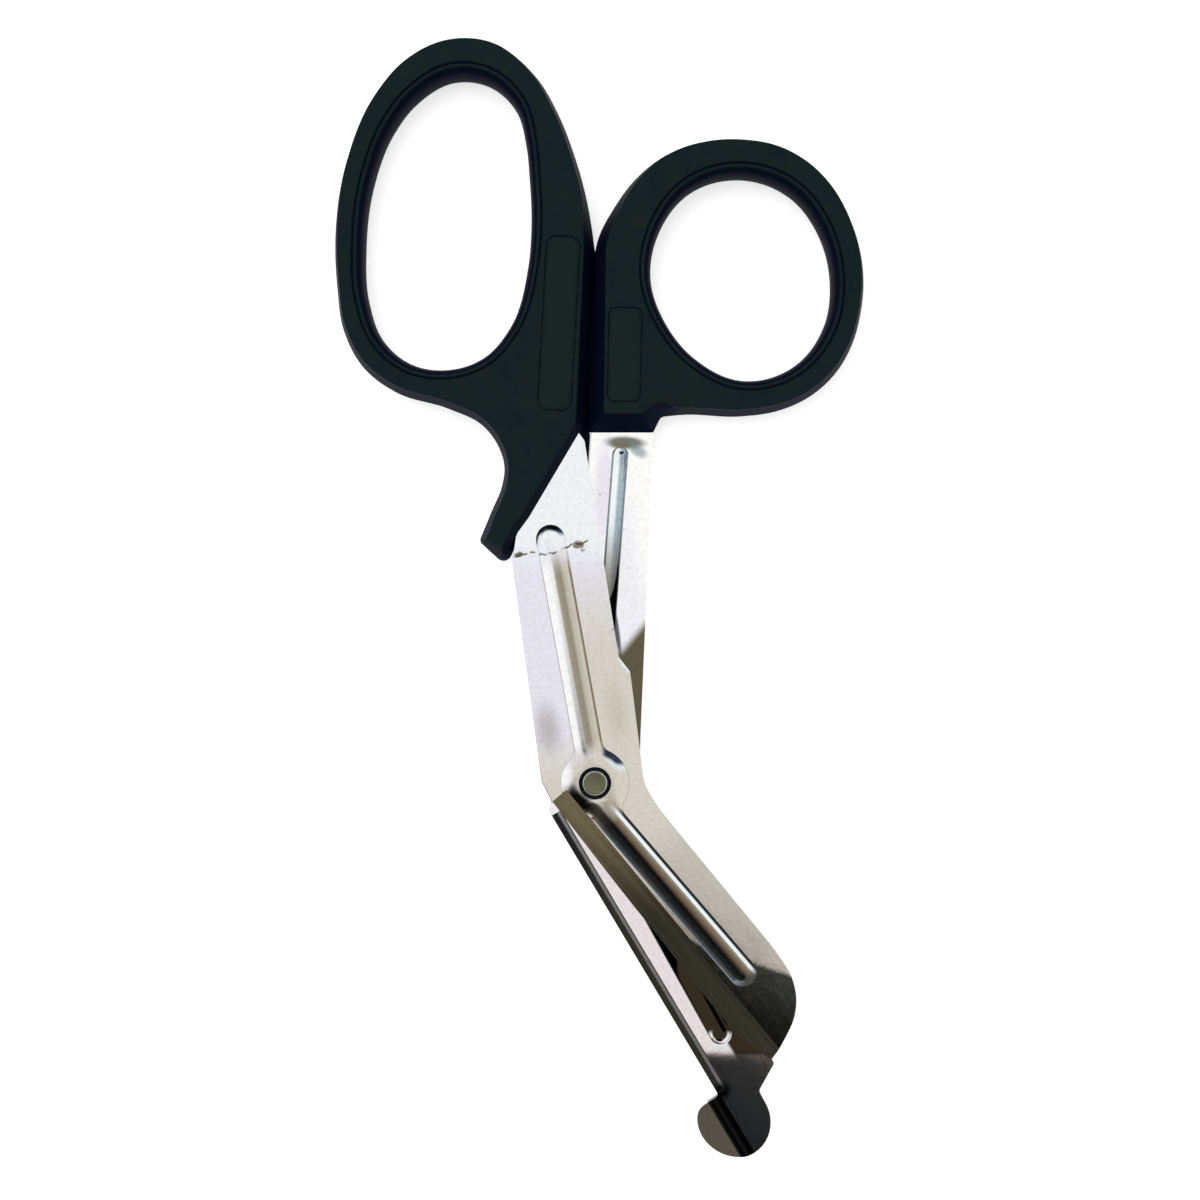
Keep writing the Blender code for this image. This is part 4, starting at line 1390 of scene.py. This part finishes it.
@dataclass
class RearBlade(Blade):
    """The lower blade, longer, with a round probe foot that is bent away."""

    name: str = "rear_blade"
    half: Half = Half.REAR
    up: int = -1
    length: float = 56.5
    width: float = 11.2
    heel: Vector = field(default_factory=lambda: Vector((-7.92, -4.9)))
    turn: float = -59.15
    rib_to_tip: float = 9.0
    rib_to_spine: float = 5.6
    rib_slant: float = -1.6
    foot_radius: float = 6.25
    foot_reach: float = 5.2
    foot_bend: float = 1.9
    foot_turn: float = 27.0
    bend_steps: int = 12
    grind_from: float = 7.0
    spine_chamfer: float = 1.8
    spine_depth: float = 0.5
    spine_to_tip: float = 0.5

    def outline(self) -> Outline:
        """Spine, probe foot, tip, cutting edge, shank and tang."""
        long, wide = self.length, self.width
        toe = knots((0.0, 0.0, 0.3), (long - 0.2, 0.0, 0.5))
        for degrees in range(-132, 93, 25):
            along, _ = heading(degrees)
            toe.append(Knot(Vector((long + self.foot_reach, 0)) + along * self.foot_radius))
        toe += knots(
            (long + 2.7, self.foot_radius + 0.2, 0.8), (long + 0.1, wide - 0.2, 0.4),
            (long - 2.2, wide, 0.0), (6.0, wide, 1.5),
        )
        upper = knots(
            (7.6, 1.0, 2.0), (7.75, 8.1, 0.0), (9.95, 59.4, 0.5), (7.6, 60.6, 0.8), (6.4, 84.0, 2.0),
            (1.9, 84.0, 2.0), (1.5, 60.6, 0.8), (-0.6, 59.4, 0.3), (-1.07, 52.87, 2.0), (-6.6, 2.0, 3.0),
        )
        return Outline(placed(self.heel, self.turn, toe) + upper)

    def ribs(self) -> tuple[Rib, ...]:
        """The rib up the shank and the one down the blade."""
        start = self.local(0.0, self.rib_to_spine - self.rib_slant)
        end = self.local(self.length - self.rib_to_tip, self.rib_to_spine)
        return (Rib(Vector((0, 0)), Vector((4.3, 55.6)), 4.8), Rib(start, end, 5.7))

    def shape(self, bench: Bench, piece: bpy.types.Object) -> None:
        """Bends the foot down along the spine's line: a round bend, then a flat flap."""
        _, across = heading(self.turn)
        radius = self.foot_bend / math.sin(math.radians(self.foot_turn))
        shell = bmesh.new()
        shell.from_mesh(piece.data)
        for step in range(self.bend_steps + 1):
            cut = (self.heel - across * self.foot_bend * step / self.bend_steps) * MM
            bmesh.ops.bisect_plane(
                shell, geom=shell.verts[:] + shell.edges[:] + shell.faces[:],
                plane_co=(*cut, 0), plane_no=(*across, 0), dist=TOUCHING,
            )
        for vert in shell.verts:
            beyond = -(vert.co.xy / MM - self.heel).dot(across)
            if beyond <= 0:
                continue
            turned = min(beyond, self.foot_bend)
            drop = radius - math.sqrt(radius**2 - turned**2)
            drop += (beyond - turned) * math.tan(math.radians(self.foot_turn))
            vert.co.z += self.up * drop * MM
        shell.to_mesh(piece.data)
        shell.free()

    def grinding(self, bench: Bench) -> list[tuple[Join, bpy.types.Object]]:
        """The ground cutting edge and the chamfer along the spine's inner side."""
        edge = self.ground(self.width, -1, self.grind_width, self.grind_land, self.thick)
        spine = self.ground(0, 1, self.spine_chamfer, self.spine_depth, 0)
        spine = spine[:2] + [(across, -self.overrun) for across, _ in spine[2:]]
        return [
            (Join.CUT, self.facet(bench, "edge", (self.grind_from, self.length + self.overrun), edge)),
            (Join.CUT, self.facet(bench, "spine", (1, self.length - self.spine_to_tip), spine)),
        ]


@dataclass
class Rivet:
    """The turned pivot rivet: flat head below, shank, and formed end in its seat."""

    name: str = "pivot_rivet"
    mid_plane: float = 4.5
    crest: float = 2.35
    play: float = 0.1
    shank: float = 1.6
    end: float = 2.1
    end_chamfer: float = 0.22
    end_proud: float = 0.1
    seat_depth: float = 0.7
    head: float = 3.9
    head_round: float = 0.7
    dish: float = 0.06
    around: int = 96
    sharp_angle: float = 35.0

    def quarter(self, reach: float, top: float, radius: float, steps: int) -> list[Span]:
        """A rounded outer edge, from the top face down to the side."""
        turns = [math.pi / 2 * (1 - step / steps) for step in range(steps + 1)]
        out, up = reach - radius, top - radius
        return [(out + radius * math.cos(turn), up + radius * math.sin(turn)) for turn in turns]

    def profile(self) -> list[Span]:
        """Radius and height of the turned section, from the formed end down."""
        head_top = self.mid_plane - self.crest - self.play
        end_low = self.mid_plane + self.crest - self.seat_depth + self.play
        end_high = self.mid_plane + self.crest + self.end_proud
        dished = ((0, 1), (0.45, 0.8), (0.74, 0.3))
        made = [(self.end * out, end_high - self.dish * deep) for out, deep in dished]
        made += self.quarter(self.end, end_high, self.end_chamfer, 6)
        made += [(self.end, end_low), (self.shank, end_low), (self.shank, head_top)]
        made += self.quarter(self.head, head_top, self.head_round, 9)
        return made + [(self.head, 0.25), (self.head - 0.07, 0.07), (self.head - 0.25, 0.0), (0.0, 0.0)]

    def build(self, bench: Bench, steel: bpy.types.Material) -> bpy.types.Object:
        """Turns the profile into the rivet, in place of its plain solid."""
        shell = bmesh.new()
        line = [shell.verts.new(Vector((reach, 0, height)) * MM) for reach, height in self.profile()]
        edges = [shell.edges.new(pair) for pair in zip(line, line[1:])]
        bmesh.ops.spin(
            shell, geom=line + edges, axis=(0, 0, 1), cent=(0, 0, 0), angle=math.tau, steps=self.around,
            use_merge=True,
        )
        bmesh.ops.remove_doubles(shell, verts=shell.verts, dist=TOUCHING)
        piece = bench.keep(self.name, shell)
        bench.polish(piece, self.sharp_angle)
        piece.data.materials.append(steel)
        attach(piece, Half.REAR.value)
        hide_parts(self.name)
        return piece


# Handles


@dataclass
class Handle:
    """A moulded handle: sloping walls to both faces and a stepped, beaded finger hole."""

    name: str = "handle"
    half: Half = Half.FRONT
    mid_plane: float = 4.5
    thick: float = 9.0
    gap: float = -0.004
    contact_height: float = 90.1
    contact_lean: float = 0.0476
    contact_bevel: float = 1.9
    loop_bevel: float = 0.9
    bevel_fade: float = 15.0
    face_round: float = 0.3
    hole_width: float = 28.1
    hole_length: float = 49.3
    hole_foot: float = 69.95
    web: float = 10.8
    side: int = -1
    rim: float = 5.15
    end_rim: float = 6.75
    step_width: float = 2.0
    groove_depth: float = 0.35
    groove_width: float = 0.3
    ridge_width: float = 0.55
    ridge_drop: float = 0.1
    bead_drop: float = 0.8
    tang_play: float = 0.15
    face_out: float = 0.1
    sharp_angle: float = 32.0
    plates: tuple[Plate, ...] = ()

    def centre(self) -> Vector:
        """The middle of the finger hole."""
        return Vector((self.side * (self.web + self.hole_width / 2), self.hole_foot + self.hole_length / 2))

    def contact(self, height: float) -> Vector:
        """The point at a height on this handle's side of the contact line."""
        return Vector(((height - self.contact_height) * self.contact_lean + self.side * self.gap / 2, height))

    def hole_shape(self) -> list[Span]:
        """The finger hole in units of its half sizes."""
        raise NotImplementedError

    def outline(self) -> Outline:
        """The handle's outside at the parting line."""
        raise NotImplementedError

    def bevel(self, point: Vector) -> float:
        """How far the face lies inside the parting line."""
        raise NotImplementedError

    def inside(self, share: float, more: float) -> Depth:
        """A share of the bevel's width, and a little more."""
        return lambda point: self.bevel(point) * share + more

    def tang(self) -> Blade:
        """The blade whose tang is moulded in."""
        raise NotImplementedError

    def extras(self, bench: Bench) -> list[tuple[Join, bpy.types.Object]]:
        """Anything more that is moulded on."""
        return []

    def body(self, bench: Bench) -> bpy.types.Object:
        """The solid outside, with a rounded edge to each face and a fine parting line."""
        half, soft = self.thick / 2, self.face_round
        wall: list[Level] = []
        for step in range(6):
            turn = math.pi / 2 * step / 5
            inset = soft * (1 - math.sin(turn)) * 0.9 - self.face_out
            wall.append((self.inside(1, inset), half - soft * (1 - math.cos(turn))))
        for share in (0.8, 0.6, 0.4, 0.2):
            wall.append((self.inside(share - 0.1 * share * (1 - share), 0), half * share))
        wall += [(even(0.02), 0.12), (even(0.02), 0.05), (even(0), 0.02)]
        levels = [(depth, self.mid_plane - height) for depth, height in wall]
        levels += [(depth, self.mid_plane + height) for depth, height in reversed(wall)]
        return bench.loft(self.name, self.outline(), levels)

    def hole_rim(self) -> list[Span]:
        """Outset and height over the mid-plane of the hole's wall, from the face inwards."""
        half = self.thick / 2
        ridge = self.step_width - self.groove_width
        inner = ridge - self.ridge_width
        low = half - self.bead_drop
        made = [
            (self.step_width + 0.12, half + 1), (self.step_width + 0.12, half + 0.01),
            (self.step_width + 0.03, half - 0.05), (self.step_width, half - 0.14),
            (self.step_width, half - self.groove_depth), (ridge + 0.04, half - self.groove_depth),
            (ridge - 0.02, half - self.ridge_drop - 0.12), (ridge - 0.12, half - self.ridge_drop),
            (inner + 0.12, half - self.ridge_drop), (inner + 0.02, half - self.ridge_drop - 0.12),
            (inner - 0.06, low + 0.05), (inner - 0.16, low),
        ]
        bead = inner - 0.16
        for step in range(1, 13):
            turn = math.pi / 2 * step / 12
            made.append((bead * (1 - math.sin(turn)), low * math.cos(turn) * 0.96 + 0.02))
        return made

    def hole(self, bench: Bench) -> bpy.types.Object:
        """The cutter for the finger hole."""
        loop = fitted(self.centre(), self.hole_width / 2, self.hole_length / 2, self.hole_shape())
        rim = self.hole_rim()
        levels = [(even(-outset), self.mid_plane + height) for outset, height in rim]
        levels += [(even(-outset), self.mid_plane - height) for outset, height in reversed(rim)]
        return bench.loft(f"{self.name}_hole", Outline(loop), levels)

    def tang_slot(self, bench: Bench) -> bpy.types.Object:
        """The cutter for the slot that the tang sits in."""
        blade = self.tang()
        heights = (-self.tang_play, blade.thick + self.tang_play)
        levels = [(even(-self.tang_play), blade.at(height)) for height in heights]
        return bench.loft(f"{self.name}_slot", blade.outline(), levels)

    def plate_edges(self, bench: Bench) -> list[tuple[Join, bpy.types.Object]]:
        """A fine groove round each label plate."""
        top = self.mid_plane + self.thick / 2
        steps = []
        for index, plate in enumerate(self.plates):
            edge = [(even(0), top - 0.1), (even(-0.05), top + 0.1)]
            core = [(even(0.28), top - 0.3), (even(0.42), top - 0.03)]
            outer = bench.loft(f"{self.name}_plate_{index}", plate.outline(), edge)
            inner = bench.loft(f"{self.name}_plate_core_{index}", plate.outline(), core)
            bench.work(outer, [(Join.CUT, inner)])
            steps.append((Join.CUT, outer))
        return steps

    def build(self, bench: Bench, plastic: HandlePlastic) -> bpy.types.Object:
        """Makes the finished handle in place of its plain solid.

        Args:
            bench: where it is built.
            plastic: its finish.

        Returns:
            The handle, riding on its half.
        """
        piece = self.body(bench)
        steps = [(Join.CUT, self.hole(bench)), (Join.CUT, self.tang_slot(bench))]
        bench.work(piece, self.extras(bench) + steps + self.plate_edges(bench))
        bench.polish(piece, self.sharp_angle)
        piece.data.materials.clear()
        piece.data.materials.append(plastic.material(self.plates))
        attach(piece, self.half.value)
        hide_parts(self.name)
        return piece


@dataclass
class LargeHandle(Handle):
    """The handle with the long loop and the guard that reaches down the shank."""

    name: str = "large_handle"
    foot: float = 60.1
    guard_slope: float = 0.577
    stop_length: float = 8.3
    stop_side: float = -1.3
    stop_top: Span = (-0.85, 59.1)
    stop_depth: float = 3.6
    stop_root: float = 2.0
    stop_rise: float = 0.5

    def hole_shape(self) -> list[Span]:
        """A long leaning oval."""
        return [
            (1.0, 0.0), (0.977, 0.325), (0.94, 0.54), (0.806, 0.80), (0.458, 0.973), (0.1, 1.0),
            (-0.393, 0.845), (-0.654, 0.652), (-0.896, 0.30), (-1.0, -0.15), (-0.958, -0.544),
            (-0.799, -0.788), (-0.45, -0.96), (0.0, -1.0), (0.434, -0.916), (0.736, -0.72), (0.956, -0.31),
        ]

    def outline(self) -> Outline:
        """Contact edge, outside of the loop, guard and the slanted end over the shank."""
        loop = fitted(self.centre(), self.hole_width / 2 + self.rim, self.hole_length / 2 + self.end_rim, [
            (0.973, 0.597), (0.764, 0.81), (0.427, 0.973), (0.0, 0.994), (-0.384, 0.883),
            (-0.654, 0.697), (-0.915, 0.326), (-1.0, 0.0), (-0.986, -0.345), (-0.931, -0.567),
            (-0.739, -0.781), (-0.461, -0.905),
        ])
        guard = knots(
            (-24.8, 63.4), (-19.0, 60.5), (-16.6, 57.4), (-15.4, 53.6), (-15.9, 50.0), (-17.5, 46.2, 0.0),
            (-19.7, 40.9, 1.0), (-15.1, 36.7, 1.4), (-12.5, 42.0, 2.0), (-10.6, 44.6, 1.0),
        )
        contact = [Knot(self.contact(self.foot), 0.5), Knot(self.contact(self.contact_height), 0.0)]
        upper = knots((-0.62, 94.7), (-1.85, 100.85), (-3.65, 106.93))
        return Outline(contact + upper + loop + guard)

    def bevel(self, point: Vector) -> float:
        """Wide along the contact edge and the slanted end, narrow round the loop."""
        aside = -point.x - max(0.0, self.foot - point.y) * self.guard_slope
        share = max(aside - self.web / 4, point.y - self.contact_height) / self.bevel_fade * 1.5
        return eased(self.contact_bevel, self.loop_bevel, share)

    def tang(self) -> Blade:
        """The front blade."""
        return FrontBlade()

    def extras(self, bench: Bench) -> list[tuple[Join, bpy.types.Object]]:
        """The web under the front blade that the rear shank closes against; its dark plastic also stands in
        for the shade in the gap between the shanks.
        """
        top = self.contact(self.foot)
        low = top.y - self.stop_length
        root = top.x - self.stop_length * self.guard_slope - self.stop_root
        web = Outline(knots(
            (top.x, top.y + self.stop_rise, 0.0), (root, low, 0.0),
            (self.stop_side, low, 0.8), (*self.stop_top, 0.1),
        ))
        ceiling = self.mid_plane - self.tang_play
        floor = ceiling - self.stop_depth
        soft = self.face_round
        levels = [
            (even(soft), floor), (even(soft / 4), floor + soft / 2),
            (even(0), floor + soft), (even(0), ceiling),
        ]
        # the stop's dark plastic fills the gap between the shanks, standing in for shade there
        return [(Join.ADD, bench.loft("closing_stop", web, levels))]


@dataclass
class SmallHandle(Handle):
    """The handle with the round loop and the square end over the shank."""

    name: str = "small_handle"
    half: Half = Half.REAR
    side: int = 1
    hole_width: float = 30.5
    hole_length: float = 34.4
    hole_foot: float = 68.1
    web: float = 9.45
    rim: float = 5.7
    end_rim: float = 6.6
    foot: float = 59.4
    end_side: float = 9.9
    end_bevel: float = 2.9
    end_fade: float = 5.0

    def hole_shape(self) -> list[Span]:
        """A nearly round hole."""
        return [
            (1.0, 0.0), (0.877, 0.445), (0.551, 0.828), (0.014, 1.0), (-0.55, 0.869), (-0.904, 0.472),
            (-1.0, 0.0), (-0.836, -0.433), (-0.502, -0.79), (0.014, -1.0), (0.579, -0.866), (0.928, -0.466),
        ]

    def outline(self) -> Outline:
        """Square end over the shank, outside of the loop and contact edge."""
        loop = fitted(self.centre(), self.hole_width / 2 + self.rim, self.hole_length / 2 + self.end_rim, [
            (-0.4725, -0.962), (0.01, -0.973), (0.295, -0.936), (0.558, -0.835), (0.77, -0.668),
            (0.909, -0.455), (0.978, -0.226), (1.0, 0.0), (0.968, 0.228), (0.886, 0.447), (0.751, 0.655),
            (0.554, 0.831), (0.299, 0.952), (0.01, 0.998), (-0.289, 0.985), (-0.581, 0.903), (-0.83, 0.74),
        ])
        end = knots((self.end_side, self.foot, 0.4), (11.2, 62.05, 1.1))
        upper = knots((3.37, 97.77), (0.42, 91.91))
        contact = [Knot(self.contact(self.contact_height), 0.0), Knot(self.contact(self.foot), 0.3)]
        return Outline(end + loop + upper + contact)

    def bevel(self, point: Vector) -> float:
        """Widest at the square end, narrower up the contact edge and round the loop."""
        rise = (point.y - self.foot) / (self.contact_height - self.foot)
        contact = eased(self.end_bevel, self.contact_bevel, rise)
        past_end = (point.x - self.end_side) / self.end_fade
        past_contact = (point.y - self.contact_height) / self.bevel_fade
        return eased(contact, self.loop_bevel, max(past_end, past_contact))

    def tang(self) -> Blade:
        """The rear blade."""
        return RearBlade()


@dataclass(frozen=True)
class Patch:
    """A dark patch of the room, placed by its sideways run for a unit of height over the steel.

    Its bands are colours at distances from its centre.
    """

    centre: Span
    radius: float
    soft: float
    bands: tuple[Stop, ...]
    widest: float = 2.0

    def over(self, recipe: Recipe, across: Signal, ahead: Signal, tone: Any) -> Signal:
        """The room's tone with this patch laid over it.

        Args:
            recipe: the card's finish.
            across: the card's sideways run for a unit of height.
            ahead: its forward run for a unit of height.
            tone: what lies beneath.

        Returns:
            The new tone.
        """
        reach = distance(across - self.centre[0], ahead - self.centre[1])
        stops = tuple((band / self.widest, colour) for band, colour in self.bands)
        share = reach.ramp(self.radius + self.soft, self.radius - self.soft)
        return recipe.mixed(share, tone, recipe.ramped(reach / self.widest, stops))


@dataclass
class Studio:
    """Camera, floor, lamp, world and the room that the steel mirrors."""

    camera_at: Triple = (0.85, 30.94, 337.5)
    lens: float = 58.76
    sight: float = 100.0
    floor_half: float = 3.0
    floor_drop: float = 0.00002
    paper: float = 0.86
    paper_glow: float = 0.62
    lamp_at: Triple = (-0.32, 0.42, 0.95)
    lamp_size: float = 0.85
    lamp_power: float = 4.6
    ambient: float = 0.55
    card_height: float = 3.0
    card_half: float = 9.0
    patches: tuple[Patch, ...] = (
        Patch((-0.24, -0.70), 0.62, 0.02, (
            (0.44, (0.036, 0.037, 0.024)), (0.49, (0.007, 0.012, 0.015)), (0.565, (0.011, 0.014, 0.014)),
            (0.582, (0.055, 0.044, 0.030)), (0.592, (0.24, 0.19, 0.14)),
            (0.602, (0.75, 0.72, 0.68)), (0.62, (1.0, 1.0, 1.0)),
        )),
        Patch((-0.85, -0.80), 0.34, 0.15, ((0.0, (0.014, 0.016, 0.018)), (1.0, (0.014, 0.016, 0.018)))),
        Patch((-1.38, -1.18), 0.60, 0.08, ((0.0, (0.115, 0.11, 0.08)), (1.0, (0.115, 0.11, 0.08)))),
        Patch((0.30, 2.10), 1.12, 0.25, ((0.0, (0.010, 0.022, 0.050)), (2.0, (0.010, 0.022, 0.050)))),
    )

    def camera(self) -> None:
        """Looks straight down, as the photograph does."""
        data = bpy.data.cameras.new("camera")
        data.lens = self.lens
        data.clip_end = self.sight
        camera = bpy.data.objects.new("camera", data)
        camera.location = Vector(self.camera_at) * MM
        bpy.context.scene.collection.objects.link(camera)
        bpy.context.scene.camera = camera

    def panel(self, name: str, half: float, height: float) -> bpy.types.Object:
        """A level square sheet."""
        shell = bmesh.new()
        bmesh.ops.create_grid(shell, x_segments=1, y_segments=1, size=half)
        bmesh.ops.translate(shell, verts=shell.verts, vec=(0, 0, height))
        data = bpy.data.meshes.new(name)
        shell.to_mesh(data)
        shell.free()
        obj = bpy.data.objects.new(name, data)
        bpy.context.scene.collection.objects.link(obj)
        return obj

    def background(self, recipe: Recipe) -> Signal:
        """1 for rays that see the background: from the camera, by reflection or through glass."""
        path = recipe.node("ShaderNodeLightPath")
        seen = path.out("Is Camera Ray") + path.out("Is Glossy Ray") + path.out("Is Transmission Ray")
        return seen.least(1.0)

    def floor(self) -> None:
        """A white floor that keeps the scissors' shadow and is clear from below."""
        obj = self.panel("floor", self.floor_half, -self.floor_drop)
        material, recipe = new_material("floor_paper")
        seen = self.background(recipe)
        grey = (self.paper, self.paper, self.paper, 1.0)
        paper = recipe.node("ShaderNodeBsdfDiffuse", None, {"Color": grey}).out()
        lit = {"Color": WHITE, "Strength": seen * self.paper_glow}
        glow = recipe.node("ShaderNodeEmission", None, lit).out()
        both = recipe.node("ShaderNodeAddShader", None, {0: paper, 1: glow}).out()
        below = recipe.node("ShaderNodeNewGeometry").out("Backfacing")
        clear = recipe.node("ShaderNodeBsdfTransparent").out()
        sheet = recipe.node("ShaderNodeMixShader", None, {0: below, 1: both, 2: clear}).out()
        recipe.node("ShaderNodeOutputMaterial", None, {"Surface": sheet})
        obj.data.materials.append(material)

    def card(self) -> None:
        """The room that the steel mirrors: white, with one large and three small dark patches."""
        obj = self.panel("room_card", self.card_half, self.card_height)
        for sight in ("camera", "diffuse", "shadow", "transmission"):
            setattr(obj, f"visible_{sight}", False)
        material, recipe = new_material("room_card")
        place = recipe.place()
        rise = self.card_height / MM
        tone: Any = WHITE[:3]
        for patch in self.patches:
            tone = patch.over(recipe, place.x / rise, place.y / rise, tone)
        glow = recipe.node("ShaderNodeEmission", None, {"Color": tone, "Strength": 1.0}).out()
        recipe.node("ShaderNodeOutputMaterial", None, {"Surface": glow})
        obj.data.materials.append(material)

    def lamp(self) -> None:
        """One large soft lamp, up and to the left."""
        data = bpy.data.lights.new("soft_lamp", "AREA")
        data.shape = "SQUARE"
        data.size = self.lamp_size
        data.energy = self.lamp_power
        lamp = bpy.data.objects.new("soft_lamp", data)
        lamp.visible_glossy = False
        lamp.location = self.lamp_at
        lamp.rotation_euler = (-lamp.location).to_track_quat("-Z", "Y").to_euler()
        bpy.context.scene.collection.objects.link(lamp)

    def world(self) -> None:
        """White behind everything, and plain soft light on matt surfaces."""
        world = bpy.data.worlds.new("studio")
        world.use_nodes = True
        recipe = Recipe(world.node_tree)
        seen = self.background(recipe)
        strength = seen * (1 - self.ambient) + self.ambient
        glow = recipe.node("ShaderNodeBackground", None, {"Color": WHITE, "Strength": strength}).out()
        recipe.node("ShaderNodeOutputWorld", None, {"Surface": glow})
        bpy.context.scene.world = world

    def build(self) -> None:
        """Sets up the whole studio."""
        bpy.context.scene.view_settings.view_transform = "Standard"
        self.camera()
        self.floor()
        self.card()
        self.lamp()
        self.world()


FRONT_STEEL = FrontSteel(
    "front_blade_steel", -50.5,
    stains=(
        Stain((-13.0, 38.6), (0.9, 0.55), 20.0, 0.85), Stain((-2.9, 40.3), (1.1, 0.9), 0.0, 0.8),
        Stain((-2.1, 39.4), (0.7, 0.5), 0.0, 0.5), Stain((3.2, 26.0), (0.5, 0.35), 30.0, 0.3),
    ),
    hairlines=(Hairline((-13.2, 38.2), (-9.4, 39.0)), Hairline((-9.4, 38.4), (-1.2, 41.0))),
)
REAR_STEEL = RearSteel(
    "rear_blade_steel", -59.15, bow=Bow(-3.6), stains=(Stain((0.8, 48.9), (0.3, 0.3), 0.0, 0.4),),
)
RIVET_STEEL = RivetSteel("rivet_steel", 15.0, base=(0.19, 0.19, 0.115), rough=0.34)
LEFT_PLATE = Plate((-6.05, 77.4), (2.7, 14.5), -3.2, 1.5)
RIGHT_PLATE = Plate((5.0, 72.15), (2.65, 7.75), -1.2, 1.0)


def main() -> None:
    """Builds every piece in order and reports it."""
    logging.basicConfig(level=logging.INFO, format="%(name)s: %(message)s")
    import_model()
    bench = Bench()
    pieces = [
        FrontBlade().build(bench, FRONT_STEEL.material()),
        RearBlade().build(bench, REAR_STEEL.material()),
        Rivet().build(bench, RIVET_STEEL.material()),
        LargeHandle(plates=(LEFT_PLATE,)).build(bench, HandlePlastic("large_handle_plastic")),
        SmallHandle(plates=(RIGHT_PLATE,)).build(bench, HandlePlastic("small_handle_plastic")),
    ]
    for piece in pieces:
        LOG.info("%s: %d faces", piece.name, len(piece.data.polygons))
    Studio().build()
    LOG.info("studio ready")


if __name__ == "__main__":
    main()
